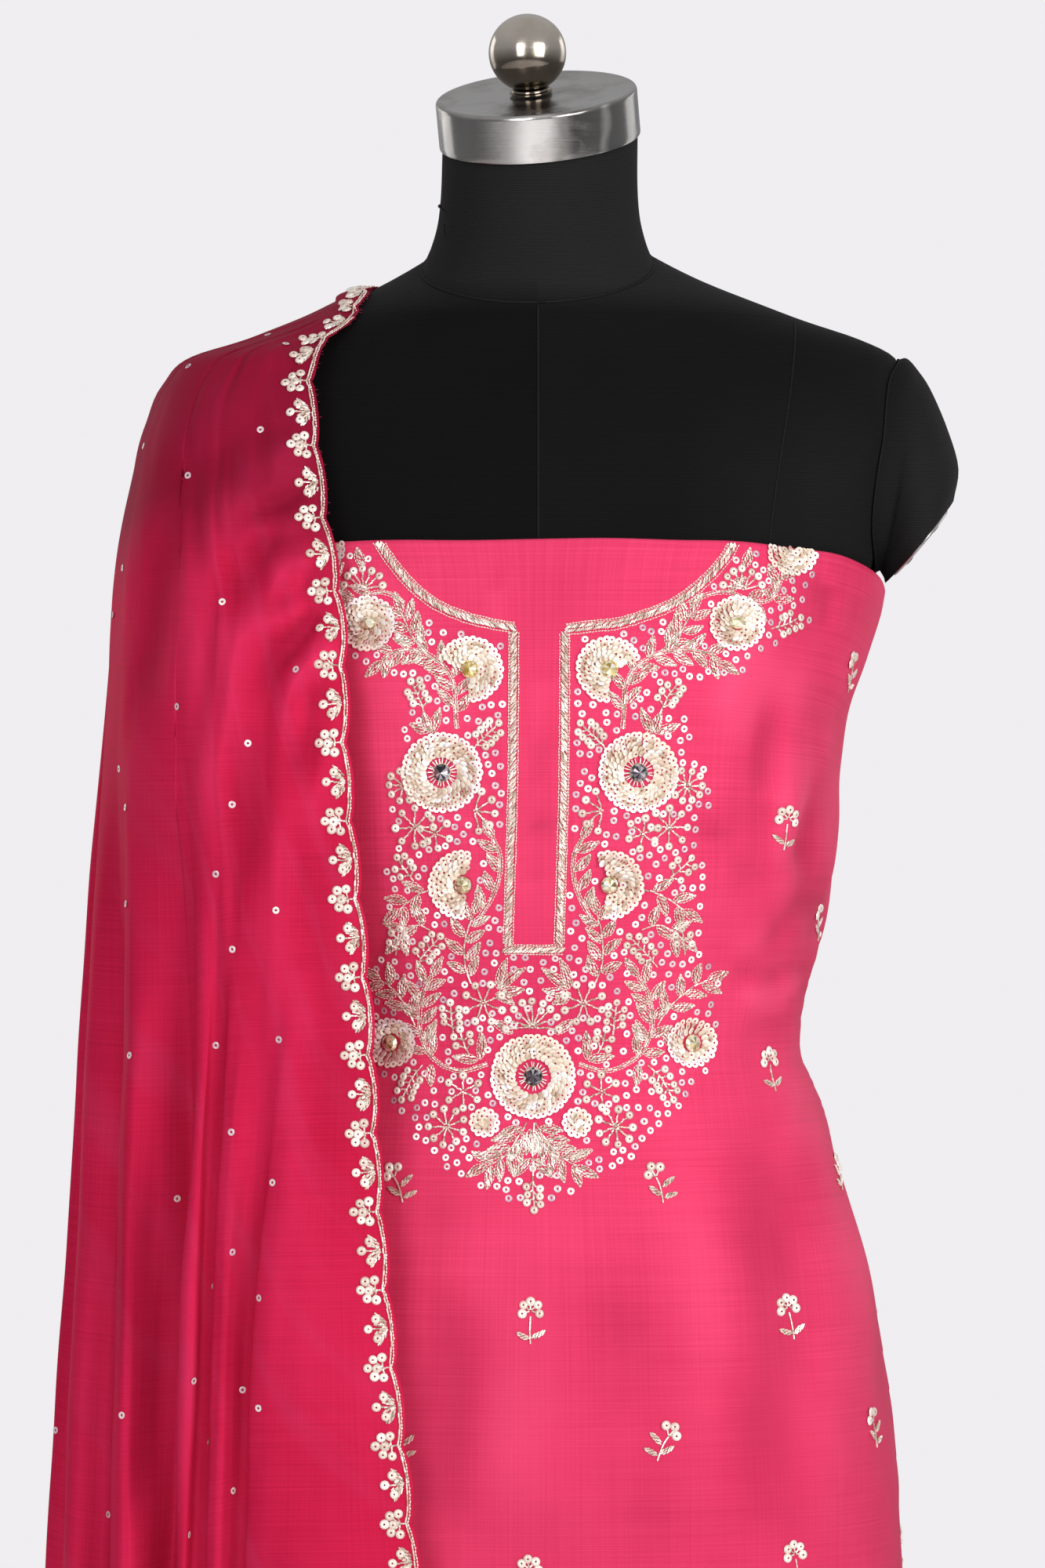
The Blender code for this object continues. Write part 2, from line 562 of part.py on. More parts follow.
def dupatta_controls():
    """Control points of the folded U, a row each: home unfolded, home folded,
    drift, sideways move folded, depth, and the fold's top and full heights."""
    rows = [(0.0, 0.0, 0.0, 0.0, 0.0, 1.3, 1.2), (0.05, 0.05, -0.10, 0.0, 0.0, 1.3, 1.2),
            (0.10, 0.10, -0.185, 0.0, 0.0, 1.3, 1.2)]
    before = 0.105
    for k, f in enumerate(FOLDS):
        after = f.at * 0.42 + (FOLDS[k + 1].at if k + 1 < len(FOLDS) else 0.955) * 0.58
        c, far = f.crest, f.crest + f.lap
        for part, folded, deep in ((0.18, -c, 0.0), (0.36, c * 0.4, 0.0), (0.54, far, -0.25), (0.72, far * 0.85, -0.70)):
            rows.append((before + (after - before) * part, f.at, f.drift, folded, deep * f.dip, f.top, f.full))
        rows.append((before + (after - before) * 0.88, after, f.drift, -0.0042, -f.dip, f.top, f.full))
        rows.append((after, after, f.drift, 0.0042, -f.dip * 0.96, f.top, f.full))
        before = after
    rows.append((1.0, 1.0, 0.0, 0.0, 0.0, 1.3, 1.2))
    return np.array(rows)


def dupatta_plan(t, z):
    """Middle point of the dupatta: t runs 0..1 along the cloth, at height z."""
    ctl = dupatta_controls()
    last = len(ctl) - 1
    i = np.clip(np.floor(t * last).astype(int), 0, last - 1)
    e = t * last - i
    total = dupatta_base(np.full(len(z), 0.5), z)[4]
    fs, ds = [], []
    for k in (-1, 0, 1, 2):
        c = ctl[np.clip(i + k, 0, last)]
        g = smooth(0, 1, (c[:, 5] - z) / (c[:, 5] - c[:, 6]))
        folded = c[:, 1] + c[:, 3] / total
        fs.append(c[:, 0] * (1 - g) + folded * g + c[:, 2] * (np.clip(z, 0.55, 1.12) - 0.75))
        ds.append(c[:, 4] * g)
    h = [-0.5 * e + e * e - 0.5 * e ** 3, 1 - 2.5 * e * e + 1.5 * e ** 3,
         0.5 * e + 2 * e * e - 1.5 * e ** 3, -0.5 * e * e + 0.5 * e ** 3]
    f = sum(a * b for a, b in zip(h, fs))
    d = sum(a * b for a, b in zip(h, ds))
    x, y, nx, ny, total = dupatta_base(np.clip(f, 0, 1), z)
    return x + nx * d, y + ny * d


def build_dupatta():
    columns = 100
    t = np.linspace(0, 1, columns)
    hem_z = column(HEM_ROWS, "x", t)
    tops = [r.z for r in DUPATTA if r.z > 1.17]
    grid = []
    start = tops[-1]
    rows = [np.full(columns, z) for z in tops]
    for k in (0.10, 0.23, 0.38, 0.57, 0.78, 1.0):
        rows.append(start + (hem_z - start) * k)
    for zz in rows[::-1]:
        x, y = dupatta_plan(t, zz)
        z = lean(np.stack([x, y, zz + column(FORM, "rise", zz) * y], axis=1))[:, 2]
        grid.append(np.stack([x, y, z], axis=1))
    grid = np.array(grid)[:, ::-1]
    wall("dupatta", grid, THIN_SILK, (0.50, 0.015, 0.07), rough=0.5)


def main():
    for obj in list(bpy.data.objects):
        bpy.data.objects.remove(obj, do_unlink=True)
    build_form()
    build_stand()
    build_kameez()
    build_salwar()
    build_dupatta()


main()
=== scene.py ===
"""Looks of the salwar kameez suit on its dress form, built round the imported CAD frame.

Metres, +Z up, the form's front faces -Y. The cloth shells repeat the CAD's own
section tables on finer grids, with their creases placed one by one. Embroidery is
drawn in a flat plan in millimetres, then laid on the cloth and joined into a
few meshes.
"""
import math
from collections import namedtuple

import bpy
import numpy as np
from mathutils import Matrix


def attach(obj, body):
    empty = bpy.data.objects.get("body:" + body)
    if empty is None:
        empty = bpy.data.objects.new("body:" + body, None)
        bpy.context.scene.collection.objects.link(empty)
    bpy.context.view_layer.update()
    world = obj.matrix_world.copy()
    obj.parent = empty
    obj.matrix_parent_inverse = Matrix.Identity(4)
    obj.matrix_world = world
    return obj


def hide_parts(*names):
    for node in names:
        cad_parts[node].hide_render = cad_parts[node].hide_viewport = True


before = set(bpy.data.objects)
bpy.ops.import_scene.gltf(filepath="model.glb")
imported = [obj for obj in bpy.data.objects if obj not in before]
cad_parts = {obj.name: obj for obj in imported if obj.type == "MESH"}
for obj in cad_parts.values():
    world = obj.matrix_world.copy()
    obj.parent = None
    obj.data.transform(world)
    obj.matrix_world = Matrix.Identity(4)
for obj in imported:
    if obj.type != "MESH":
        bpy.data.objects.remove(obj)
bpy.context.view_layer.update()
rng = np.random.default_rng(41)

# ------------------------------------------------------------ sizes from CAD
KAMEEZ_WIDTH = 1.12
KAMEEZ_TOP = 1.2826
KAMEEZ_HEM = 0.270
KAMEEZ_TURN_IN = 0.135
KAMEEZ_OFF = 0.0042
TURN_IN_OFF = 0.0011
UNDER_CLOTH = 0.0028
SIDE_EASE = 0.008
SIDE_DIP = 0.014
SALWAR_TOP = 1.026
SALWAR_HEM = 0.062
SALWAR_OFF = 0.0016
FORM_BOTTOM = 0.745
POLE_R = 0.0165
BASE_R = 0.185
BASE_T = 0.009
CAP_R = 0.0527
CAP_H = 0.0250
BALL_R = 0.0202
COLLAR_H = 0.0026
BALL_SHIFT = -0.0026
CAP_TOP = (-0.0010, -0.0120, 1.5190)
CAP_AXIS = (-0.085, -0.325, 0.942)
LEAN = 0.026
GAP = 0.0004

Section = namedtuple("Section", "z half front back square rise")
FORM = [
    Section(0.7455, 0.1700, 0.1020, 0.1120, 2.30, 0.0),
    Section(0.7600, 0.1805, 0.1100, 0.1210, 2.30, 0.0),
    Section(0.7850, 0.1835, 0.1130, 0.1240, 2.30, 0.0),
    Section(0.8240, 0.1812, 0.1135, 0.1250, 2.30, 0.0),
    Section(0.8580, 0.1765, 0.1125, 0.1230, 2.28, 0.0),
    Section(0.9060, 0.1677, 0.1105, 0.1170, 2.26, 0.0),
    Section(0.9400, 0.1568, 0.1070, 0.1090, 2.22, 0.0),
    Section(0.9715, 0.1468, 0.1025, 0.1010, 2.18, 0.0),
    Section(1.0000, 0.1342, 0.0985, 0.0920, 2.15, 0.0),
    Section(1.0216, 0.1256, 0.0950, 0.0850, 2.12, 0.0),
    Section(1.0420, 0.1285, 0.0955, 0.0840, 2.12, 0.0),
    Section(1.0620, 0.1344, 0.0985, 0.0855, 2.15, 0.0),
    Section(1.0850, 0.1418, 0.1030, 0.0890, 2.18, 0.0),
    Section(1.1120, 0.1490, 0.1085, 0.0930, 2.22, 0.0),
    Section(1.1400, 0.1525, 0.1155, 0.0970, 2.26, 0.0),
    Section(1.1690, 0.1540, 0.1225, 0.1010, 2.30, 0.0),
    Section(1.2040, 0.1605, 0.1270, 0.1050, 2.34, 0.0),
    Section(1.2240, 0.1660, 0.1255, 0.1060, 2.36, 0.0),
    Section(1.2440, 0.1715, 0.1205, 0.1070, 2.38, 0.0),
    Section(1.2640, 0.1745, 0.1150, 0.1070, 2.40, 0.0),
    Section(1.2900, 0.1765, 0.1060, 0.1050, 2.60, 0.0),
    Section(1.3160, 0.1795, 0.0960, 0.1010, 3.20, 0.0),
    Section(1.3350, 0.1832, 0.0875, 0.0950, 3.40, 0.0),
    Section(1.3500, 0.1853, 0.0800, 0.0870, 3.20, 0.0),
    Section(1.3650, 0.1868, 0.0705, 0.0770, 2.80, 0.0),
    Section(1.3765, 0.1868, 0.0625, 0.0675, 2.40, 0.0),
    Section(1.3870, 0.1680, 0.0585, 0.0625, 2.20, 0.03),
    Section(1.3975, 0.1395, 0.0565, 0.0600, 2.10, 0.10),
    Section(1.4070, 0.1152, 0.0550, 0.0580, 2.06, 0.18),
    Section(1.4165, 0.0900, 0.0535, 0.0560, 2.02, 0.28),
    Section(1.4245, 0.0703, 0.0520, 0.0545, 2.00, 0.39),
    Section(1.4290, 0.0605, 0.0505, 0.0530, 2.00, 0.44),
]
Add = namedtuple("Add", "z half front back")
BRIDGE = [
    Add(0.785, 0.0000, 0.0000, 0.0000),
    Add(0.906, 0.0000, 0.0005, 0.0010),
    Add(0.972, 0.0004, 0.0025, 0.0045),
    Add(1.022, 0.0013, 0.0050, 0.0080),
    Add(1.085, 0.0005, 0.0085, 0.0065),
    Add(1.140, 0.0005, 0.0065, 0.0035),
    Add(1.190, 0.0000, 0.0010, 0.0010),
    Add(1.300, 0.0000, 0.0000, 0.0000),
]
FALL = [
    Section(0.262, 0.2010, 0.1400, 0.1500, 2.20, 0.0),
    Section(0.420, 0.1970, 0.1340, 0.1440, 2.22, 0.0),
    Section(0.600, 0.1920, 0.1240, 0.1350, 2.26, 0.0),
    Section(0.720, 0.1895, 0.1190, 0.1300, 2.30, 0.0),
    Section(0.785, 0.1877, 0.1172, 0.1282, 2.30, 0.0),
]
SALWAR_FALL = [
    Section(0.050, 0.1860, 0.1270, 0.1370, 2.20, 0.0),
    Section(0.300, 0.1850, 0.1210, 0.1310, 2.22, 0.0),
    Section(0.600, 0.1850, 0.1165, 0.1275, 2.28, 0.0),
    Section(0.785, 0.1851, 0.1146, 0.1256, 2.30, 0.0),
]
Drape = namedtuple("Drape", "z reach front back square")
DUPATTA_EDGE_X = -0.0935
DUPATTA = [
    Drape(1.4130, 0.0125, 0.0285, 0.0345, 2.0),
    Drape(1.4050, 0.0320, 0.0430, 0.0470, 2.0),
    Drape(1.3960, 0.0570, 0.0560, 0.0610, 2.0),
    Drape(1.3850, 0.0895, 0.0700, 0.0750, 2.2),
    Drape(1.3720, 0.1025, 0.0800, 0.0850, 2.2),
    Drape(1.3500, 0.1110, 0.0940, 0.0980, 2.4),
    Drape(1.3100, 0.1200, 0.1090, 0.1130, 2.5),
    Drape(1.2600, 0.1272, 0.1240, 0.1230, 2.5),
    Drape(1.1900, 0.1325, 0.1390, 0.1320, 2.5),
    Drape(1.0900, 0.1400, 0.1390, 0.1400, 2.4),
    Drape(0.9700, 0.1465, 0.1380, 0.1500, 2.3),
    Drape(0.8200, 0.1565, 0.1390, 0.1620, 2.2),
    Drape(0.6400, 0.1650, 0.1450, 0.1720, 2.2),
    Drape(0.4500, 0.1730, 0.1500, 0.1800, 2.2),
    Drape(0.1000, 0.1860, 0.1600, 0.1920, 2.2),
]
Edge = namedtuple("Edge", "z x")
FRONT_EDGE = [
    Edge(1.4130, -0.0935), Edge(1.3900, -0.1110), Edge(1.3650, -0.1145),
    Edge(1.3300, -0.1110), Edge(1.3000, -0.1075), Edge(1.2500, -0.0990),
    Edge(1.1700, -0.0950), Edge(1.0500, -0.0845), Edge(0.9300, -0.0770),
    Edge(0.7490, -0.0590), Edge(0.2000, -0.0250),
]
Fold = namedtuple("Fold", "at drift crest lap dip top full")
FOLDS = [
    Fold(0.150, -0.21, 0.0070, 0.0040, 0.0110, 1.10, 0.84),
    Fold(0.201, -0.18, 0.0040, 0.0005, 0.0075, 1.15, 0.90),
    Fold(0.236, -0.18, 0.0035, 0.0010, 0.0250, 1.18, 0.94),
    Fold(0.310, -0.07, 0.0080, 0.0000, 0.0140, 1.22, 0.98),
    Fold(0.402, -0.02, 0.0090, 0.0025, 0.0350, 1.26, 1.02),
    Fold(0.486, 0.00, 0.0085, 0.0025, 0.0400, 1.30, 1.08),
    Fold(0.564, 0.00, 0.0085, 0.0025, 0.0430, 1.30, 1.08),
    Fold(0.644, 0.00, 0.0085, 0.0020, 0.0450, 1.30, 1.08),
    Fold(0.726, 0.00, 0.0085, 0.0025, 0.0460, 1.29, 1.06),
    Fold(0.808, 0.00, 0.0085, 0.0030, 0.0420, 1.27, 1.04),
    Fold(0.890, 0.00, 0.0080, 0.0020, 0.0260, 1.22, 0.98),
]
Hem = namedtuple("Hem", "at z")
HEM = [
    Hem(0.00, 0.225), Hem(0.18, 0.200), Hem(0.34, 0.125), Hem(0.44, 0.170),
    Hem(0.54, 0.250), Hem(0.64, 0.170), Hem(0.72, 0.125), Hem(0.86, 0.190),
    Hem(1.00, 0.225),
]
HEM_ROWS = [Edge(h.at, h.z) for h in HEM]
Skirt = namedtuple("Skirt", "at width depth start")
KAMEEZ_FOLDS = [
    Skirt(-0.76, 0.06, 0.009, 0.78), Skirt(-0.58, 0.07, -0.005, 0.74),
    Skirt(-0.36, 0.06, 0.008, 0.76), Skirt(-0.16, 0.08, -0.005, 0.70),
    Skirt(0.10, 0.09, 0.006, 0.72), Skirt(0.34, 0.07, 0.010, 0.78),
    Skirt(0.54, 0.07, -0.005, 0.74), Skirt(0.73, 0.06, 0.009, 0.78),
]

# ------------------------------------------------------------------- camera
CAM = np.array([-0.008, -3.2, 1.159])
PITCH = 0.00041           # metres per photo pixel on the plane y = 0

cam_data = bpy.data.cameras.new("camera")
cam_data.sensor_fit = "VERTICAL"
cam_data.sensor_height = 24.0
cam_data.lens = 24.0 * 3.2 / (2000 * PITCH)
cam_data.clip_start, cam_data.clip_end = 0.1, 60.0
camera = bpy.data.objects.new("camera", cam_data)
camera.location = CAM
camera.rotation_euler = (math.radians(90), 0, 0)
bpy.context.scene.collection.objects.link(camera)
bpy.context.scene.camera = camera


# ----------------------------------------------------------------- sections
def smooth(a, b, x):
    t = np.clip((np.asarray(x, float) - a) / (b - a), 0.0, 1.0)
    return t * t * (3.0 - 2.0 * t)


def column(table, name, z):
    rows = sorted(table, key=lambda r: r[0])
    zs = np.array([r[0] for r in rows], float)
    ys = np.array([getattr(r, name) for r in rows], float)
    z = np.clip(np.asarray(z, float), zs[0], zs[-1])
    d = np.gradient(ys, zs)
    k = np.clip(np.searchsorted(zs, z) - 1, 0, len(zs) - 2)
    h = zs[k + 1] - zs[k]
    t = (z - zs[k]) / h
    return (
        (1 + 2 * t) * (1 - t) ** 2 * ys[k] + t * (1 - t) ** 2 * h * d[k]
        + t * t * (3 - 2 * t) * ys[k + 1] - t * t * (1 - t) * h * d[k + 1]
    )


def oval(phi, half, front, back, square):
    a = np.pi * np.asarray(phi, float)
    s, c = np.sin(a), np.cos(a)
    p = 2.0 / square
    x = half * np.sign(s) * np.abs(s) ** p
    y = -np.where(c >= 0, front, back) * np.sign(c) * np.abs(c) ** p
    return x, y


def lean(p):
    q = np.array(p, float)
    q[..., 2] += LEAN * q[..., 0] * smooth(1.27, 1.39, q[..., 2])
    return q


def outward(phi, section):
    e = 0.002
    x0, y0 = oval(phi - e, *section)
    x1, y1 = oval(phi + e, *section)
    tx, ty = x1 - x0, y1 - y0
    n = np.hypot(tx, ty)
    return ty / n, -tx / n


def unit(v):
    return v / np.maximum(np.linalg.norm(v, axis=-1, keepdims=True), 1e-12)


def spline(points, count):
    """A smooth line through a few points (any number of columns)."""
    p = np.array(points, float)
    if len(p) == 2:
        t = np.linspace(0, 1, count)[:, None]
        return p[0] * (1 - t) + p[1] * t
    q = np.vstack([2 * p[0] - p[1], p, 2 * p[-1] - p[-2]])
    t = np.linspace(0, len(p) - 1 - 1e-9, count)
    k = t.astype(int)
    e = (t - k)[:, None]
    a, b, c, d = q[k], q[k + 1], q[k + 2], q[k + 3]
    return 0.5 * (2 * b + (c - a) * e + (2 * a - 5 * b + 4 * c - d) * e ** 2 + (3 * b - a - 3 * c + d) * e ** 3)


def even(path, step, ends=True):
    """Points every step along a path (kept to whole steps)."""
    path = np.asarray(path, float)
    run = np.concatenate([[0], np.cumsum(np.linalg.norm(np.diff(path, axis=0), axis=1))])
    n = max(int(round(run[-1] / step)), 1)
    want = np.linspace(0, run[-1], n + 1)
    return np.stack([np.interp(want, run, path[:, i]) for i in range(path.shape[1])], axis=1)


# ------------------------------------------------------------------- meshes
def new_mesh(name, verts, faces, uv=None, tint=None, smooth_shade=True):
    """faces: an array of quads or triangles, or a list of such arrays."""
    verts = np.asarray(verts, np.float32)
    groups = faces if isinstance(faces, list) else [faces]
    loops = np.concatenate([np.asarray(g, np.int32).ravel() for g in groups])
    sizes = np.concatenate([np.full(len(g), np.asarray(g).shape[1], np.int32) for g in groups])
    starts = np.concatenate([[0], np.cumsum(sizes)[:-1]]).astype(np.int32)
    mesh = bpy.data.meshes.new(name)
    mesh.vertices.add(len(verts))
    mesh.vertices.foreach_set("co", verts.ravel())
    mesh.loops.add(len(loops))
    mesh.loops.foreach_set("vertex_index", loops)
    mesh.polygons.add(len(sizes))
    mesh.polygons.foreach_set("loop_start", starts)
    mesh.polygons.foreach_set("loop_total", sizes)
    mesh.update(calc_edges=True)
    if uv is not None:
        layer = mesh.uv_layers.new(name="UVMap")
        layer.data.foreach_set("uv", np.asarray(uv, np.float32)[loops].ravel())
    if tint is not None:
        att = mesh.attributes.new("tint", "FLOAT", "POINT")
        att.data.foreach_set("value", np.asarray(tint, np.float32))
    mesh.validate()
    obj = bpy.data.objects.new(name, mesh)
    bpy.context.scene.collection.objects.link(obj)
    if smooth_shade:
        mesh.shade_smooth()
    return obj


def grid_faces(rows, cols, start=0, wrap=False, flip=False):
    i, j = np.meshgrid(np.arange(rows - 1), np.arange(cols if wrap else cols - 1), indexing="ij")
    k = (j + 1) % cols
    f = np.stack([i * cols + j, i * cols + k, (i + 1) * cols + k, (i + 1) * cols + j], axis=-1).reshape(-1, 4)
    return (f[:, ::-1] if flip else f) + start


def tidy_normals(obj):
    import bmesh
    bm = bmesh.new()
    bm.from_mesh(obj.data)
    bmesh.ops.recalc_face_normals(bm, faces=bm.faces)
    bm.to_mesh(obj.data)
    bm.free()


def loft(name, rings, mat, sharp=None, uv_scale=1.0):
    """A closed solid through rings of equal length, fanned at both ends."""
    rings = [np.asarray(r, float) for r in rings]
    n = len(rings[0])
    verts = np.vstack(rings + [rings[0].mean(axis=0)[None], rings[-1].mean(axis=0)[None]])
    quads = grid_faces(len(rings), n, wrap=True)
    j = np.arange(n)
    k = (j + 1) % n
    base = (len(rings) - 1) * n
    caps = np.vstack([np.stack([np.full(n, len(verts) - 2), k, j], 1),
                      np.stack([np.full(n, len(verts) - 1), base + j, base + k], 1)])
    obj = new_mesh(name, verts, [quads, caps])
    tidy_normals(obj)
    if sharp:
        obj.data.set_sharp_from_angle(angle=math.radians(sharp))
    obj.data.materials.append(mat)
    return obj


class Batch:
    """Many copies of small templates, joined into one mesh."""

    def __init__(self):
        self.verts, self.quads, self.tris, self.tint, self.count = [], [], [], [], 0

    def put(self, template, origin, x, y, z, tint):
        """template: verts (n,3), quads, tris. The rest are arrays, one row a copy."""
        tv, tq, tt = template
        n = len(origin)
        if not n:
            return
        v = origin[:, None, :] + tv[None, :, 0:1] * x[:, None, :] + tv[None, :, 1:2] * y[:, None, :] + tv[None, :, 2:3] * z[:, None, :]
        start = self.count + np.arange(n)[:, None, None] * len(tv)
        self.verts.append(v.reshape(-1, 3))
        if len(tq):
            self.quads.append((tq[None] + start).reshape(-1, 4))
        if len(tt):
            self.tris.append((tt[None] + start).reshape(-1, 3))
        self.tint.append(np.repeat(tint, len(tv)))
        self.count += n * len(tv)

    def make(self, name, mat, smooth_shade=True, sharp=None):
        if not self.verts:
            return None
        faces = []
        if self.quads:
            faces.append(np.vstack(self.quads))
        if self.tris:
            faces.append(np.vstack(self.tris))
        obj = new_mesh(name, np.vstack(self.verts), faces, tint=np.concatenate(self.tint), smooth_shade=smooth_shade)
        if sharp:
            obj.data.set_sharp_from_angle(angle=math.radians(sharp))
        obj.data.materials.append(mat)
        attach(obj, "root")
        return obj


def lathe(profile, n):
    """Template turned round Z from (radius, height) rows, open at both ends."""
    a = np.arange(n) * 2 * np.pi / n
    rows = [np.stack([r * np.cos(a), r * np.sin(a), np.full(n, h)], 1) for r, h in profile]
    return np.vstack(rows), grid_faces(len(rows), n, wrap=True), np.zeros((0, 3), int)


def bead_template(n=5):
    """Bugle bead along X, one unit long and one unit across, with flat closed ends."""
    a = (np.arange(n) + 0.5) * 2 * np.pi / n
    ring = np.stack([np.cos(a) * 0.5, np.sin(a) * 0.5], 1)
    v = []
    for x, s in ((-0.5, 0.94), (0.5, 0.94)):
        v.append(np.column_stack([np.full(n, x), ring * s]))
    verts = np.vstack(v)
    quads = grid_faces(2, n, wrap=True, flip=True)
    caps = [[0, i, i + 1] for i in range(1, n - 1)] + [[n, n + i + 1, n + i] for i in range(1, n - 1)]
    return verts, quads, np.array(caps)


def stitch_template(n=5):
    """One fat stitch along X, one unit long, one unit across, pointed at both ends."""
    a = (np.arange(n) + 0.5) * 2 * np.pi / n
    verts = [[-0.66, 0, 0]] + [[0.06, math.cos(t) * 0.5, math.sin(t) * 0.5] for t in a] + [[0.66, 0, 0]]
    tris = [[0, 1 + i, 1 + (i + 1) % n] for i in range(n)] + [[n + 1, 1 + (i + 1) % n, 1 + i] for i in range(n)]
    return np.array(verts, float), np.zeros((0, 4), int), np.array(tris)[:, ::-1]


BEAD = bead_template()
STITCH = stitch_template()
RING = lathe([(0.17, 0.01), (0.185, 0.03), (0.40, 0.035), (0.5, 0.0)], 12)          # flat sequin, 1 across
PETAL = lathe([(0.14, -0.015), (0.34, 0.03), (0.5, 0.0)], 10)                         # sequin in a flower's outer ring
SCALE = lathe([(0.03, 0.025), (0.34, 0.055), (0.5, -0.01)], 10)                       # lapped sequin, its hole covered
DOME = lathe([(0.5, 0.0), (0.46, 0.10), (0.33, 0.19), (0.15, 0.22), (0.10, 0.17)], 11)   # cupped pearl sequin


# ----------------------------------------------------------------- materials
def nodes_of(name):
    mat = bpy.data.materials.new(name)
    mat.use_nodes = True
    nt = mat.node_tree
    bsdf = nt.nodes["Principled BSDF"]
    out = nt.nodes["Material Output"]
    return mat, nt, bsdf, out


def node(nt, kind, **values):
    n = nt.nodes.new(kind)
    for k, v in values.items():
        if k in n.inputs:
            n.inputs[k].default_value = v
        else:
            setattr(n, k, v)
    return n


def stretched(nt, source, scale):
    m = nt.nodes.new("ShaderNodeMapping")
    m.inputs["Scale"].default_value = scale
    nt.links.new(source, m.inputs["Vector"])
    return m.outputs["Vector"]


def noise(nt, vector, scale, detail=2.0, rough=0.5):
    n = nt.nodes.new("ShaderNodeTexNoise")
    n.inputs["Scale"].default_value = scale
    n.inputs["Detail"].default_value = detail
    n.inputs["Roughness"].default_value = rough
    nt.links.new(vector, n.inputs["Vector"])
    return n.outputs["Fac"]


def math_node(nt, op, a, b=None, clamp=False):
    n = nt.nodes.new("ShaderNodeMath")
    n.operation = op
    n.use_clamp = clamp
    for i, v in enumerate((a, b)):
        if v is None:
            continue
        if isinstance(v, (int, float)):
            n.inputs[i].default_value = v
        else:
            nt.links.new(v, n.inputs[i])
    return n.outputs[0]


def mix_colour(nt, fac, a, b):
    n = nt.nodes.new("ShaderNodeMix")
    n.data_type = "RGBA"
    if isinstance(fac, (int, float)):
        n.inputs[0].default_value = fac
    else:
        nt.links.new(fac, n.inputs[0])
    for i, v in ((6, a), (7, b)):
        if isinstance(v, tuple):
            n.inputs[i].default_value = (*v, 1.0)
        else:
            nt.links.new(v, n.inputs[i])
    return n.outputs[2]


def remap(nt, value, lo, hi, to_lo, to_hi):
    n = nt.nodes.new("ShaderNodeMapRange")
    n.inputs["From Min"].default_value = lo
    n.inputs["From Max"].default_value = hi
    n.inputs["To Min"].default_value = to_lo
    n.inputs["To Max"].default_value = to_hi
    nt.links.new(value, n.inputs["Value"])
    return n.outputs["Result"]


def bump(nt, bsdf, height, distance, strength=1.0):
    b = nt.nodes.new("ShaderNodeBump")
    b.inputs["Distance"].default_value = distance
    b.inputs["Strength"].default_value = strength
    nt.links.new(height, b.inputs["Height"])
    nt.links.new(b.outputs["Normal"], bsdf.inputs["Normal"])


def coords(nt, which="Object"):
    return nt.nodes.new("ShaderNodeTexCoord").outputs[which]


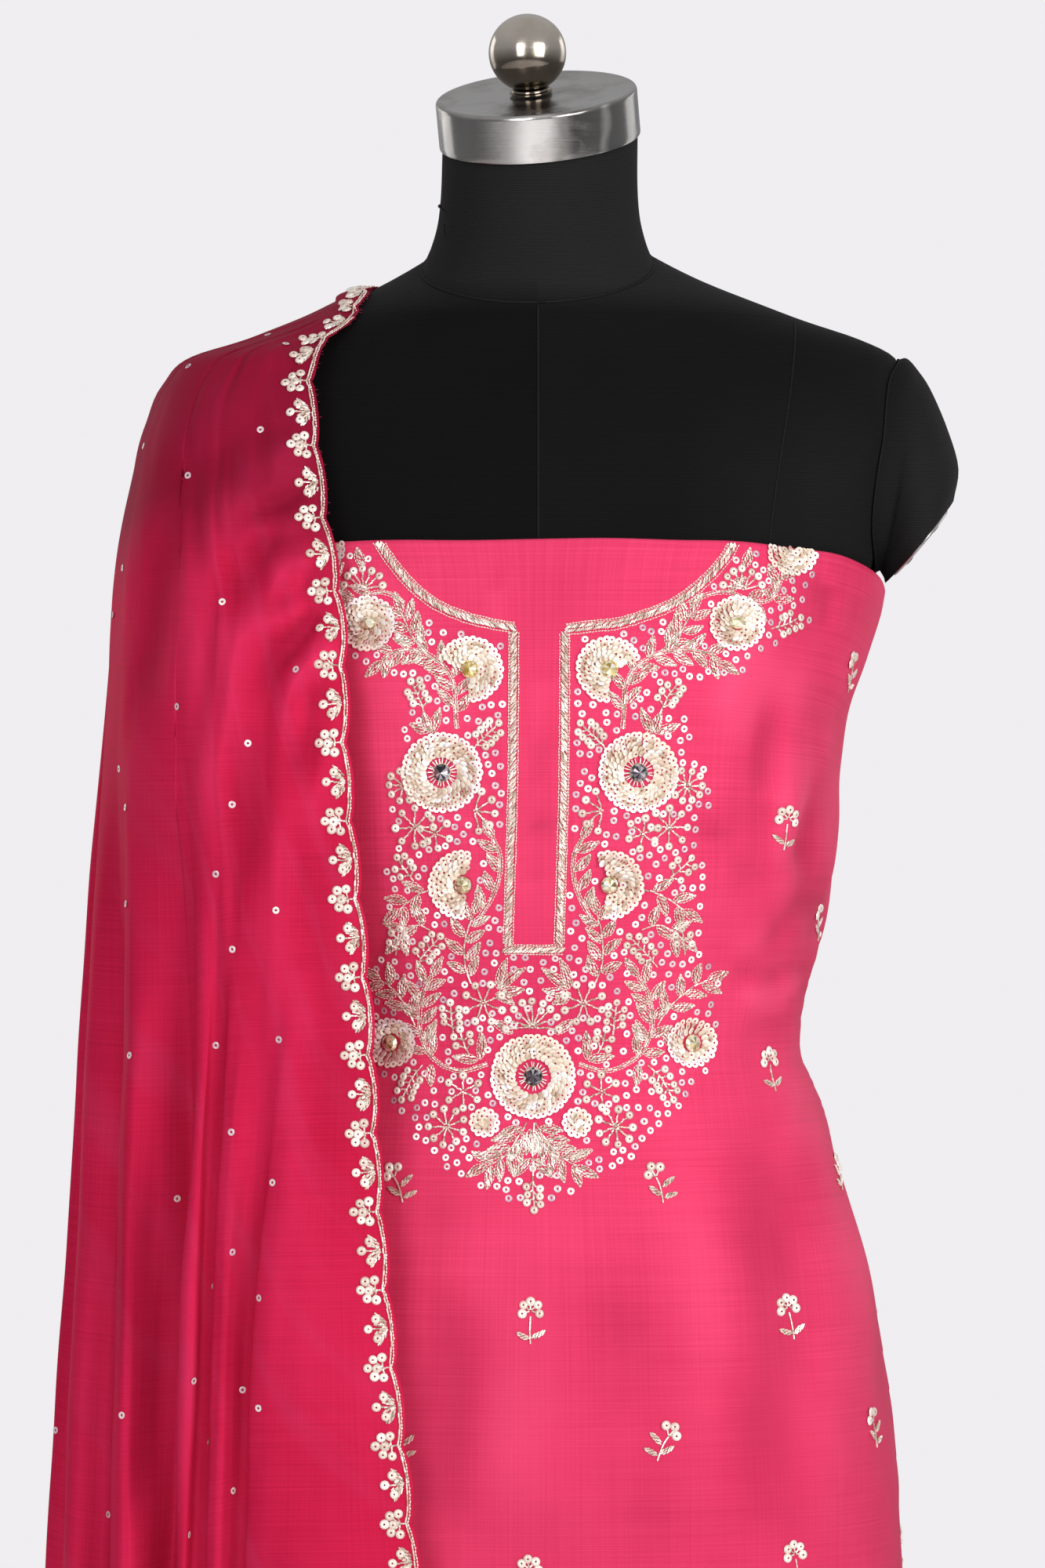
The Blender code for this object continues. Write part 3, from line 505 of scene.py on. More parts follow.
def silk(name, deep, bright, rough, see=0.0, glow=0.0, slub=1.0, sheen=0.35, sheen_tint=(1.0, 0.5, 0.65), spec=0.42, over=None, painted_sheen_streaks=None, metal=0.0, painted_fold_shade=None):
    """Plain woven silk. UVs are metres along the cloth; threads run along both. With the fold-shade pair (dark, pale),
    the piece's tint attribute, 0 in a crease and 1 on a ridge, paints shade into the creases and light onto the ridges;
    the sheen-streak triple (angle, colour, amount) paints diagonal sheen streaks."""
    mat, nt, bsdf, out = nodes_of(name)
    uv = coords(nt, "UV")
    weft = noise(nt, stretched(nt, uv, (9.0, 1500.0, 1.0)), 1.0, 3.0, 0.6)
    warp = noise(nt, stretched(nt, uv, (1300.0, 7.0, 1.0)), 1.0, 3.0, 0.6)
    cloud = noise(nt, stretched(nt, uv, (9.0, 7.0, 1.0)), 1.0, 3.0, 0.55)
    thread = math_node(nt, "ADD", math_node(nt, "MULTIPLY", weft, 0.62), math_node(nt, "MULTIPLY", warp, 0.38))
    tone = math_node(nt, "ADD", math_node(nt, "MULTIPLY", thread, 1.1 * slub), math_node(nt, "MULTIPLY", cloud, 0.75))
    fac = remap(nt, tone, 0.35 * slub + 0.28, 0.75 * slub + 0.47, 0.0, 1.0)
    colour = mix_colour(nt, fac, deep, bright)
    if painted_sheen_streaks:
        # painted sheen: paler diagonal streaks mixed into the base colour
        turn = nt.nodes.new("ShaderNodeMapping")
        turn.inputs["Rotation"].default_value = (0.0, 0.0, math.radians(painted_sheen_streaks[0]))
        nt.links.new(uv, turn.inputs["Vector"])
        band = noise(nt, stretched(nt, turn.outputs["Vector"], (46.0, 5.0, 1.0)), 1.0, 3.0, 0.55)
        colour = mix_colour(nt, remap(nt, band, 0.50, 0.72, 0.0, painted_sheen_streaks[2]), colour, painted_sheen_streaks[1])
    if painted_fold_shade:
        # painted shade in the creases and painted highlight on the ridges
        att = nt.nodes.new("ShaderNodeAttribute")
        att.attribute_name = "tint"
        colour = mix_colour(nt, remap(nt, att.outputs["Fac"], 0.5, 0.0, 0.0, painted_fold_shade[0]), colour, tuple(c * 0.45 for c in deep))
        colour = mix_colour(nt, remap(nt, att.outputs["Fac"], 0.5, 1.0, 0.0, painted_fold_shade[1]), colour, tuple(min(1.0, c * k) for c, k in zip(bright, (1.2, 1.9, 1.6))))
    if over:
        # painted shade past a level: over the black form, standing in for the dark seen through the thin cloth, or
        # towards the hem where less light comes
        sep = nt.nodes.new("ShaderNodeSeparateXYZ")
        nt.links.new(coords(nt), sep.inputs[0])
        uneven = math_node(nt, "ADD", sep.outputs["Z"], remap(nt, cloud, 0.3, 0.7, -0.015, 0.015))
        colour = mix_colour(nt, remap(nt, uneven, over[0], over[1], 0.0, over[3]), colour, over[2])
    nt.links.new(colour, bsdf.inputs["Base Color"])
    nt.links.new(remap(nt, thread, 0.3, 0.7, rough - 0.05, rough + 0.06), bsdf.inputs["Roughness"])
    bsdf.inputs["Sheen Weight"].default_value = sheen
    bsdf.inputs["Sheen Roughness"].default_value = 0.35
    bsdf.inputs["Sheen Tint"].default_value = (*sheen_tint, 1.0)
    bsdf.inputs["Specular IOR Level"].default_value = spec
    bsdf.inputs["IOR"].default_value = 1.35
    bsdf.inputs["Metallic"].default_value = metal
    bsdf.inputs["Specular Tint"].default_value = (1.0, 0.40, 0.56, 1.0)
    fine = nt.nodes.new("ShaderNodeTexWave")
    fine.wave_type, fine.bands_direction = "BANDS", "Y"
    fine.inputs["Scale"].default_value = 420.0
    fine.inputs["Distortion"].default_value = 1.2
    fine.inputs["Detail"].default_value = 1.0
    nt.links.new(uv, fine.inputs["Vector"])
    height = math_node(nt, "ADD", math_node(nt, "MULTIPLY", thread, 1.0), math_node(nt, "MULTIPLY", fine.outputs["Fac"], 0.22))
    bump(nt, bsdf, height, 0.00012, 0.55)
    shader = bsdf.outputs[0]
    if glow:
        tr = nt.nodes.new("ShaderNodeBsdfTranslucent")
        nt.links.new(mix_colour(nt, fac, tuple(min(1, c * 1.2) for c in deep), tuple(min(1, c * 1.25) for c in bright)), tr.inputs["Color"])
        m = nt.nodes.new("ShaderNodeMixShader")
        m.inputs[0].default_value = glow
        nt.links.new(shader, m.inputs[1])
        nt.links.new(tr.outputs[0], m.inputs[2])
        shader = m.outputs[0]
    if see:
        tp = nt.nodes.new("ShaderNodeBsdfTransparent")
        tp.inputs["Color"].default_value = (0.95, 0.16, 0.28, 1.0)
        m = nt.nodes.new("ShaderNodeMixShader")
        nt.links.new(remap(nt, thread, 0.35, 0.65, see * 1.15, see * 0.85), m.inputs[0])
        nt.links.new(shader, m.inputs[1])
        nt.links.new(tp.outputs[0], m.inputs[2])
        shader = m.outputs[0]
    nt.links.new(shader, out.inputs["Surface"])
    return mat


def form_cloth():
    """Black knit cover with a fine level rib, and painted sheen on the neck, the right arm cap and the right side of
    the chest.
    """
    mat, nt, bsdf, out = nodes_of("form_cover_black")
    obj = coords(nt)
    sep = nt.nodes.new("ShaderNodeSeparateXYZ")
    nt.links.new(obj, sep.inputs[0])
    rib = math_node(nt, "SINE", math_node(nt, "MULTIPLY", sep.outputs["Z"], 2 * math.pi / 0.00115))
    rib = math_node(nt, "ADD", math_node(nt, "MULTIPLY", rib, 0.5), 0.5)
    fuzz = noise(nt, obj, 1400.0, 3.0, 0.6)
    cloud = noise(nt, obj, 7.0, 3.0, 0.5)
    fac = math_node(nt, "ADD", math_node(nt, "MULTIPLY", rib, 0.45), math_node(nt, "MULTIPLY", math_node(nt, "MULTIPLY", fuzz, cloud), 1.3))
    # painted sheen: the knit over the neck and the right arm cap is painted a shade lighter
    painted_sheen = math_node(nt, "ADD", remap(nt, sep.outputs["Z"], 1.402, 1.420, 0.0, 1.0),
                      remap(nt, sep.outputs["X"], 0.172, 0.196, 0.0, 0.55), clamp=True)
    # painted sheen: the panels right of the centre seam are painted paler
    painted_sheen = math_node(nt, "ADD", painted_sheen, remap(nt, sep.outputs["X"], -0.0006, 0.0006, 0.0, 0.16), clamp=True)
    # painted sheen on the right flank below the shoulder
    flank_sheen = math_node(nt, "MULTIPLY", remap(nt, sep.outputs["X"], 0.070, 0.140, 0.0, 0.34), remap(nt, sep.outputs["Z"], 1.372, 1.318, 0.0, 1.0))
    painted_sheen = math_node(nt, "ADD", painted_sheen, flank_sheen, clamp=True)
    dark = mix_colour(nt, fac, (0.0012, 0.0012, 0.0013), (0.0062, 0.0061, 0.0064))
    pale = mix_colour(nt, fac, (0.0060, 0.0060, 0.0062), (0.0215, 0.0212, 0.0220))
    nt.links.new(mix_colour(nt, painted_sheen, dark, pale), bsdf.inputs["Base Color"])
    nt.links.new(remap(nt, fuzz, 0.3, 0.7, 0.78, 0.95), bsdf.inputs["Roughness"])
    bsdf.inputs["Specular IOR Level"].default_value = 0.07
    bsdf.inputs["Sheen Weight"].default_value = 0.018
    bsdf.inputs["Sheen Roughness"].default_value = 0.4
    bump(nt, bsdf, math_node(nt, "ADD", rib, math_node(nt, "MULTIPLY", fuzz, 0.6)), 0.00018, 0.6)
    return mat


def stops(node, ramp):
    """Sets a colour ramp's stops from (place, colour) rows in rising order."""
    el = node.color_ramp.elements
    el[0].position, el[0].color = ramp[0][0], (*ramp[0][1], 1.0)
    el[1].position, el[1].color = ramp[-1][0], (*ramp[-1][1], 1.0)
    for at, c in ramp[1:-1]:
        el.new(at).color = (*c, 1.0)


def steel(name, colour, rough, axis=2, brushed=0.0, wear=0.15, stain=(0.30, 0.25, 0.20), painted_reflection_bands=None, foot=None):
    """Steel with brush lines round an axis, hairline scratches and dull worn patches; the bands are (x, tone)
    rows of painted reflection, dark and bright strips round the rim, with a painted shade of one flat tone on the
    upward-facing top, and the foot is (z, z, colour), a painted dark reflection towards the bottom."""
    mat, nt, bsdf, out = nodes_of(name)
    obj = coords(nt)
    scale = [25.0, 25.0, 25.0]
    scale[axis] = 1600.0
    lines = noise(nt, stretched(nt, obj, tuple(scale)), 1.0, 4.0, 0.7)
    patch = noise(nt, obj, 38.0, 4.0, 0.6)
    dots = noise(nt, obj, 420.0, 2.0, 0.5)
    worn = remap(nt, patch, 0.48, 0.72, 0.0, 1.0)
    base = mix_colour(nt, math_node(nt, "MULTIPLY", worn, wear), mix_colour(nt, lines, tuple(c * 0.86 for c in colour), colour), stain)
    sep = nt.nodes.new("ShaderNodeSeparateXYZ")
    nt.links.new(obj, sep.inputs[0])
    if painted_reflection_bands:
        # painted reflection: dark and bright strips by X, standing in for the lamps and the dark studio seen in the
        # steel
        cr = nt.nodes.new("ShaderNodeValToRGB")
        cr.color_ramp.interpolation = "EASE"
        lo, hi = painted_reflection_bands[0][0], painted_reflection_bands[-1][0]
        stops(cr, [((x - lo) / (hi - lo), (tone, tone, tone)) for x, tone in painted_reflection_bands])
        wobble = noise(nt, obj, 60.0, 2.0, 0.5)
        nt.links.new(math_node(nt, "ADD", remap(nt, sep.outputs["X"], lo, hi, 0.0, 1.0), remap(nt, wobble, 0.3, 0.7, -0.012, 0.012)), cr.inputs["Fac"])
        # painted shade: the upward-facing top takes one flat tone instead of the strips
        tc = nt.nodes.new("ShaderNodeTexCoord")
        up = nt.nodes.new("ShaderNodeSeparateXYZ")
        nt.links.new(tc.outputs["Normal"], up.inputs[0])
        rim = mix_colour(nt, remap(nt, up.outputs["Z"], 0.35, 0.75, 0.0, 1.0), cr.outputs["Color"], (0.45, 0.445, 0.435))
        dark = nt.nodes.new("ShaderNodeMix")
        dark.data_type, dark.blend_type = "RGBA", "MULTIPLY"
        dark.inputs[0].default_value = 1.0
        nt.links.new(base, dark.inputs[6])
        nt.links.new(rim, dark.inputs[7])
        base = dark.outputs[2]
    # painted reflection: darker towards the bottom, standing in for the dark below the ball seen in its steel
    if foot:
        base = mix_colour(nt, remap(nt, sep.outputs["Z"], foot[0], foot[1], 0.0, 0.8), base, foot[2])
    nt.links.new(base, bsdf.inputs["Base Color"])
    bsdf.inputs["Metallic"].default_value = 1.0
    r = math_node(nt, "ADD", remap(nt, lines, 0.3, 0.7, rough * 0.8, rough * 1.25), math_node(nt, "MULTIPLY", worn, 0.10 * wear / 0.15))
    nt.links.new(r, bsdf.inputs["Roughness"])
    if brushed:
        bump(nt, bsdf, math_node(nt, "ADD", lines, math_node(nt, "MULTIPLY", dots, 0.15)), 0.00006, brushed)
    return mat


def tinted(name, ramp, rough, metal=0.0, coat=0.0, see=0.0, spec=0.5, speckle=0.0, subsurface=0.0):
    """Colour by the piece's own random tint: ramp is (place, colour) rows."""
    mat, nt, bsdf, out = nodes_of(name)
    att = nt.nodes.new("ShaderNodeAttribute")
    att.attribute_name = "tint"
    cr = nt.nodes.new("ShaderNodeValToRGB")
    stops(cr, ramp)
    value = att.outputs["Fac"]
    obj = coords(nt)
    grain = noise(nt, obj, 900.0, 2.0, 0.6)
    value = math_node(nt, "ADD", value, remap(nt, grain, 0.3, 0.7, -0.06 - speckle, 0.06 + speckle), clamp=True)
    nt.links.new(value, cr.inputs["Fac"])
    nt.links.new(cr.outputs["Color"], bsdf.inputs["Base Color"])
    nt.links.new(remap(nt, grain, 0.3, 0.7, max(rough - 0.06, 0.02), rough + 0.08), bsdf.inputs["Roughness"])
    bsdf.inputs["Metallic"].default_value = metal
    bsdf.inputs["Coat Weight"].default_value = coat
    bsdf.inputs["Coat Roughness"].default_value = 0.12
    bsdf.inputs["Specular IOR Level"].default_value = spec
    bsdf.inputs["IOR"].default_value = 1.35
    bsdf.inputs["Metallic"].default_value = metal
    if see:
        tp = nt.nodes.new("ShaderNodeBsdfTransparent")
        m = nt.nodes.new("ShaderNodeMixShader")
        m.inputs[0].default_value = see
        nt.links.new(bsdf.outputs[0], m.inputs[1])
        nt.links.new(tp.outputs[0], m.inputs[2])
        nt.links.new(m.outputs[0], out.inputs["Surface"])
    return mat


# -------------------------------------------------------------------- cloths
Crease = namedtuple("Crease", "x0 y0 x1 y1 width depth")
# Kameez creases between two places on the photo's front (pixels), width in
# metres across, depth out of the cloth in metres; negative is a trough.
CREASES = [
    Crease(1048, 744, 1066, 800, 0.0055, -0.0018), Crease(1076, 748, 1060, 812, 0.0055, 0.0014),
    Crease(664, 862, 716, 852, 0.0045, -0.0012), Crease(664, 1062, 712, 1054, 0.0045, -0.0012),
    Crease(630, 742, 634, 800, 0.0050, 0.0012), Crease(700, 940, 676, 1010, 0.0050, -0.0010),
    Crease(1044, 960, 1030, 1215, 0.0090, -0.0024), Crease(988, 870, 976, 1080, 0.0085, -0.0018),
    Crease(1118, 1480, 1138, 1990, 0.0130, -0.0016), Crease(562, 1430, 568, 1990, 0.0140, -0.0012),
    Crease(955, 745, 935, 960, 0.0130, 0.0018), Crease(800, 1560, 806, 1990, 0.0300, 0.0010),
    Crease(1012, 860, 1000, 1200, 0.0080, 0.0014),
    Crease(930, 1250, 1010, 1238, 0.0055, -0.0014), Crease(936, 1276, 1020, 1262, 0.0055, 0.0014),
    Crease(885, 1062, 945, 1074, 0.0045, -0.0012), Crease(972, 1000, 1014, 1052, 0.0060, 0.0014),
    Crease(1030, 1130, 980, 1215, 0.0060, -0.0014), Crease(1035, 1240, 1085, 1480, 0.0080, -0.0012),
    Crease(1050, 1228, 962, 1262, 0.0060, -0.0016),
    Crease(1052, 1262, 985, 1282, 0.0050, -0.0018),
    Crease(1046, 1292, 968, 1300, 0.0060, -0.0014),
    Crease(1032, 1244, 930, 1275, 0.0080, 0.0014),
    Crease(1035, 1277, 950, 1291, 0.0055, 0.0014),
    Crease(1030, 1318, 940, 1322, 0.0080, -0.0010),
    Crease(1012, 995, 1000, 1135, 0.0060, 0.0016),
    Crease(1024, 1010, 1014, 1120, 0.0060, -0.0012),
    Crease(985, 1120, 1040, 1075, 0.0070, -0.0010),
    Crease(1062, 705, 1040, 735, 0.0040, -0.0016),
    Crease(1075, 712, 1058, 748, 0.0040, 0.0014),
    Crease(1090, 735, 1000, 850, 0.0160, -0.0012),
    Crease(1105, 800, 985, 930, 0.0150, 0.0014),
    Crease(652, 690, 656, 762, 0.0026, 0.0008),
    Crease(640, 696, 640, 760, 0.0030, -0.0007),
    Crease(668, 852, 712, 858, 0.0018, -0.0010),
    Crease(664, 1062, 708, 1058, 0.0018, -0.0010),
    Crease(662, 1112, 700, 1118, 0.0020, -0.0008),
    Crease(690, 812, 684, 960, 0.0035, 0.0005),
    Crease(672, 1000, 690, 1190, 0.0040, -0.0005),
    Crease(966, 1420, 1010, 2000, 0.0240, -0.0028),
    Crease(1030, 1480, 1085, 2000, 0.0220, 0.0022),
    Crease(880, 1460, 905, 2000, 0.0300, 0.0016),
    Crease(760, 1600, 770, 2000, 0.0340, -0.0014),
    Crease(620, 1560, 640, 2000, 0.0300, 0.0014),
    Crease(1010, 1330, 1060, 1430, 0.0100, -0.0010),
    Crease(985, 1350, 1040, 1480, 0.0140, 0.0010),
    Crease(905, 700, 1000, 712, 0.0030, -0.0006), Crease(716, 703, 880, 706, 0.0030, 0.0006),
    Crease(520, 706, 640, 703, 0.0030, -0.0006), Crease(1060, 780, 1004, 1010, 0.0190, -0.0012),
    Crease(1040, 900, 1010, 1180, 0.0150, 0.0014), Crease(960, 1010, 900, 1080, 0.0100, -0.0007),
    Crease(1018, 760, 940, 960, 0.0200, 0.0010), Crease(990, 1180, 930, 1215, 0.0060, 0.0009),
    Crease(930, 1120, 1010, 1105, 0.0060, -0.0008), Crease(560, 1640, 575, 2000, 0.0260, -0.0018),
    Crease(700, 1700, 712, 2000, 0.0300, 0.0012), Crease(820, 1560, 838, 2000, 0.0280, -0.0013),
]
Wrinkle = namedtuple("Wrinkle", "u0 z0 u1 z1 width depth")
# The same kind of creases where the photo doesn't show: u is the place along
# the cut, -1 one end, 0 the middle front, 1 the other end.
WRINKLES = [
    Wrinkle(-0.58, 1.060, -0.44, 1.046, 0.007, -0.0018), Wrinkle(-0.57, 1.045, -0.46, 1.036, 0.006, 0.0015),
    Wrinkle(-0.60, 1.030, -0.42, 1.024, 0.007, -0.0016), Wrinkle(-0.50, 1.160, -0.47, 1.100, 0.007, 0.0014),
    Wrinkle(0.56, 1.060, 0.70, 1.046, 0.007, -0.0016), Wrinkle(0.58, 1.040, 0.76, 1.030, 0.007, 0.0014),
    Wrinkle(0.60, 1.022, 0.74, 1.016, 0.008, -0.0014), Wrinkle(-0.74, 1.052, -0.60, 1.040, 0.007, -0.0012),
    Wrinkle(-0.86, 1.110, -0.66, 1.046, 0.010, 0.0014), Wrinkle(0.88, 1.090, 0.70, 1.044, 0.010, -0.0012),
    Wrinkle(-0.62, 0.920, -0.66, 0.560, 0.026, -0.0022), Wrinkle(0.62, 0.930, 0.67, 0.560, 0.026, -0.0022),
    Wrinkle(0.80, 0.980, 0.82, 0.600, 0.030, 0.0016), Wrinkle(-0.82, 0.960, -0.84, 0.600, 0.030, 0.0018),
    Wrinkle(-0.70, 1.240, -0.62, 1.130, 0.014, 0.0012), Wrinkle(0.66, 1.235, 0.60, 1.120, 0.014, -0.0012),
    Wrinkle(-0.40, 0.900, -0.45, 0.520, 0.026, 0.0018),
]


def kameez_section(z):
    """half, front, back, square of the kameez's outer layer, at heights z."""
    z = np.asarray(z, float)
    w = smooth(0.765, 0.800, z)
    out = []
    for c in ("half", "front", "back", "square"):
        v = column(FORM, c, z)
        if c != "square":
            v = v + KAMEEZ_OFF + column(BRIDGE, c, z)
        out.append(v * w + column(FALL, c, z) * (1 - w))
    return out


def half_round(z):
    """Half the way round the kameez at each height z."""
    secs = kameez_section(z)
    x, y = oval(np.linspace(0, 1, 90)[None, :], *[s[:, None] for s in secs])
    return np.hypot(np.diff(x, axis=1), np.diff(y, axis=1)).sum(axis=1)


def kameez_top(phi):
    wrapped = np.abs((np.asarray(phi) + 1) % 2 - 1)
    ease = smooth(0.12, 0.40, wrapped) * smooth(0.88, 0.60, wrapped)
    return KAMEEZ_TOP - SIDE_EASE * ease - SIDE_DIP * np.exp(-(((wrapped - 0.5) / 0.105) ** 2))


COLS = 301
ROWS = 200
U = np.linspace(-1, 1, COLS)
HALF_ROUND_Z = np.linspace(0.2, 1.32, 400)
HALF_ROUND = half_round(HALF_ROUND_Z)


def kameez_row(z, off, drop=None, extra=0.0):
    zc = float(z - (drop or 0.0))
    reach = KAMEEZ_WIDTH / 2 / np.interp(zc, HALF_ROUND_Z, HALF_ROUND)
    phi = U * reach
    if drop is None:
        v = (zc - KAMEEZ_HEM) / (KAMEEZ_TOP - 0.014 - KAMEEZ_HEM)
        zz = KAMEEZ_HEM + v * (kameez_top(phi) - 0.014 - KAMEEZ_HEM)
        zz = zc * (1 - smooth(1.10, 1.24, zc)) + zz * smooth(1.10, 1.24, zc)
    else:
        zz = kameez_top(phi) - drop
    secs = kameez_section(zz)
    x, y = oval(phi, *secs)
    nx, ny = outward(phi, secs)
    late = 0.045 if off < KAMEEZ_OFF else 0.0
    lap = smooth(2 - reach - 0.20 + late, 2 - reach - 0.06 + late, phi)
    layer = lap * (0.0050 + 0.0022 * smooth(1.05, 1.13, zc))
    wrapped = np.abs((phi + 1) % 2 - 1)
    layer = layer + (0.0014 + 0.0026 * smooth(0.70, 0.84, wrapped)) * (1 - smooth(1.03, 1.07, zc))
    fold = 0.0
    for f in KAMEEZ_FOLDS:
        fold = fold + f.depth * np.exp(-(((phi - f.at) / f.width) ** 2)) * smooth(f.start, 0.30, zz)
    fold = fold * (1 - smooth(0.80, 0.88, np.abs(phi)))
    d = off - KAMEEZ_OFF + layer + fold + extra
    return np.stack([x + nx * d, y + ny * d, zz], axis=1)


def normals(grid):
    du = np.gradient(grid, axis=1)
    dv = np.gradient(grid, axis=0)
    return unit(np.cross(du, dv))


def bilinear(grid, r, c):
    r = np.clip(r, 0, grid.shape[0] - 1.001)
    c = np.clip(c, 0, grid.shape[1] - 1.001)
    i, j = r.astype(int), c.astype(int)
    a, b = (r - i)[:, None], (c - j)[:, None]
    return (grid[i, j] * (1 - a) * (1 - b) + grid[i + 1, j] * a * (1 - b)
            + grid[i, j + 1] * (1 - a) * b + grid[i + 1, j + 1] * a * b)


class Surface:
    """A cloth's grid of points, to lay embroidery on."""

    def __init__(self, grid):
        self.grid = grid
        self.normal = normals(grid)

    def at(self, r, c):
        return bilinear(self.grid, r, c), unit(bilinear(self.normal, r, c))

    def find(self, px, py, lo, hi, guess=-0.12):
        """Rows and columns seen at photo pixels, among the columns lo to hi."""
        px, py = np.asarray(px, float), np.asarray(py, float)
        y = np.full(len(px), guess)
        zrow = self.grid[:, (lo + hi) // 2, 2]
        for _ in range(5):
            k = 1 + y / 3.2
            x = CAM[0] + (px - 666.5) * PITCH * k
            z = CAM[2] + (1000 - py) * PITCH * k
            r = np.interp(z, zrow, np.arange(len(zrow)))
            for _ in range(2):
                i = np.clip(r.astype(int), 0, len(zrow) - 2)
                a = (r - i)[:, None]
                xs = self.grid[i, lo:hi, 0] * (1 - a) + self.grid[i + 1, lo:hi, 0] * a
                zs = self.grid[i, lo:hi, 2] * (1 - a) + self.grid[i + 1, lo:hi, 2] * a
                j = np.clip((xs < x[:, None]).sum(axis=1), 1, hi - lo - 1)
                n = np.arange(len(j))
                t = (x - xs[n, j - 1]) / np.maximum(xs[n, j] - xs[n, j - 1], 1e-9)
                c = lo + j - 1 + np.clip(t, -0.5, 1.5)
                zh = zs[n, j - 1] * (1 - np.clip(t, 0, 1)) + zs[n, j] * np.clip(t, 0, 1)
                slope = (self.grid[i + 1, lo + j, 2] - self.grid[i, lo + j, 2])
                r = np.clip(r + (z - zh) / slope, 0, len(zrow) - 1.001)
            y = bilinear(self.grid, r, c)[:, 1]
        return r, c


def segment_bump(qx, qy, x0, y0, x1, y1, width, soft=0.35):
    """1 on the line from 0 to 1, falling off across and near both ends."""
    ex, ey = x1 - x0, y1 - y0
    length = math.hypot(ex, ey)
    ex, ey = ex / length, ey / length
    along = ((qx - x0) * ex + (qy - y0) * ey) / length
    across = -(qx - x0) * ey + (qy - y0) * ex
    across = across + 0.25 * width * np.sin(along * 7.0 + x0)
    ends = smooth(-0.08, soft, along) * (1 - smooth(1 - soft, 1.08, along))
    return np.exp(-((across / width) ** 2)) * ends


def build_kameez(mat):
    zs = np.linspace(KAMEEZ_HEM, KAMEEZ_TOP - 0.014, ROWS)
    body = np.array([kameez_row(z, KAMEEZ_OFF) for z in zs])
    bend = (KAMEEZ_OFF - TURN_IN_OFF) / 2
    # creases, laid on the plain shape
    plain = Surface(body)
    n = plain.normal
    lift = np.zeros(body.shape[:2])
    k = 1 + body[..., 1] / 3.2
    pxg = 666.5 + (body[..., 0] - CAM[0]) / (PITCH * k)
    pyg = 1000 - (body[..., 2] - CAM[2]) / (PITCH * k)
    front = (np.abs(U)[None, :] < 0.52) & (body[..., 1] < 0.01)
    for c in CREASES:
        lift += np.where(front, segment_bump(pxg, pyg, c.x0, c.y0, c.x1, c.y1, c.width / PITCH) * c.depth * 1.35, 0.0)
    along = U * KAMEEZ_WIDTH / 2
    for w in WRINKLES:
        lift += segment_bump(along[None, :] + 0 * lift, body[..., 2], w.u0 * 0.56, w.z0, w.u1 * 0.56, w.z1, w.width) * w.depth
    # slow unevenness of hand-smoothed cloth
    a, b = along[None, :], body[..., 2]
    lift += 0.00035 * np.sin(a * 61 + 2.1 * np.sin(b * 23)) * np.sin(b * 37 + 1.3 * np.sin(a * 19))
    lift += 0.00022 * np.sin(a * 131 + b * 55) * np.sin(b * 83 - a * 28)
    lift = np.maximum(lift, -0.0026)
    body = body + n * lift[..., None]
    # 0 in a trough, 1 on a ridge; kept as the cloth's tint attribute to paint shade into the creases and light onto the
    # ridges
    folded = np.clip(0.5 + lift / 0.0052, 0.0, 1.0)
    # the folded top edge and the layer turned to the inside
    arc = np.linspace(0, np.pi, 7)
    rows = [kameez_row(KAMEEZ_TOP, KAMEEZ_OFF, drop=d) for d in (0.0095, 0.0060, 0.0035)]
    for t in arc:
        off = (KAMEEZ_OFF + TURN_IN_OFF) / 2 + np.cos(t) * bend
        rows.append(kameez_row(KAMEEZ_TOP, off, drop=bend * (1.0 - np.sin(t)) + 0.00002 * t))
    for d in (0.004, 0.010, 0.020, 0.035, 0.055, 0.080, 0.105, KAMEEZ_TURN_IN):
        rows.append(kameez_row(KAMEEZ_TOP, TURN_IN_OFF, drop=d))
    rows = np.array(rows)
    soft = 0.0004 * np.sin(along * 44 + 0.6) + 0.0003 * np.sin(along * 97)
    rows[:11, :, 2] += soft[None, :] * np.array([0.3, 0.5, 0.7, 1, 1, 1, 1, 1, 1, 1, 0.6])[:, None]
    # the corner under the bare arm cap stands off the form a little
    for part in (body, rows):
        part[..., 0] += 0.0040 * smooth(0.158, 0.186, part[..., 0]) * smooth(1.195, 1.252, part[..., 2])
    grid = np.vstack([body, rows])
    folded = np.vstack([folded, np.full(rows.shape[:2], 0.5)])
    shown = np.vstack([body, rows[:4]])
    run = np.cumsum(np.vstack([np.zeros((1, COLS)), np.linalg.norm(np.diff(grid, axis=0), axis=2)]), axis=0)
    uv = np.stack([np.broadcast_to(along, run.shape), run.mean(axis=1, keepdims=True) + 0 * run], axis=-1)
    obj = new_mesh("kameez_silk", grid.reshape(-1, 3), grid_faces(*grid.shape[:2]), uv=uv.reshape(-1, 2), tint=folded.reshape(-1))
    obj.data.materials.append(mat)
    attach(obj, "root")
    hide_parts("kameez_length")
    return obj, Surface(shown)


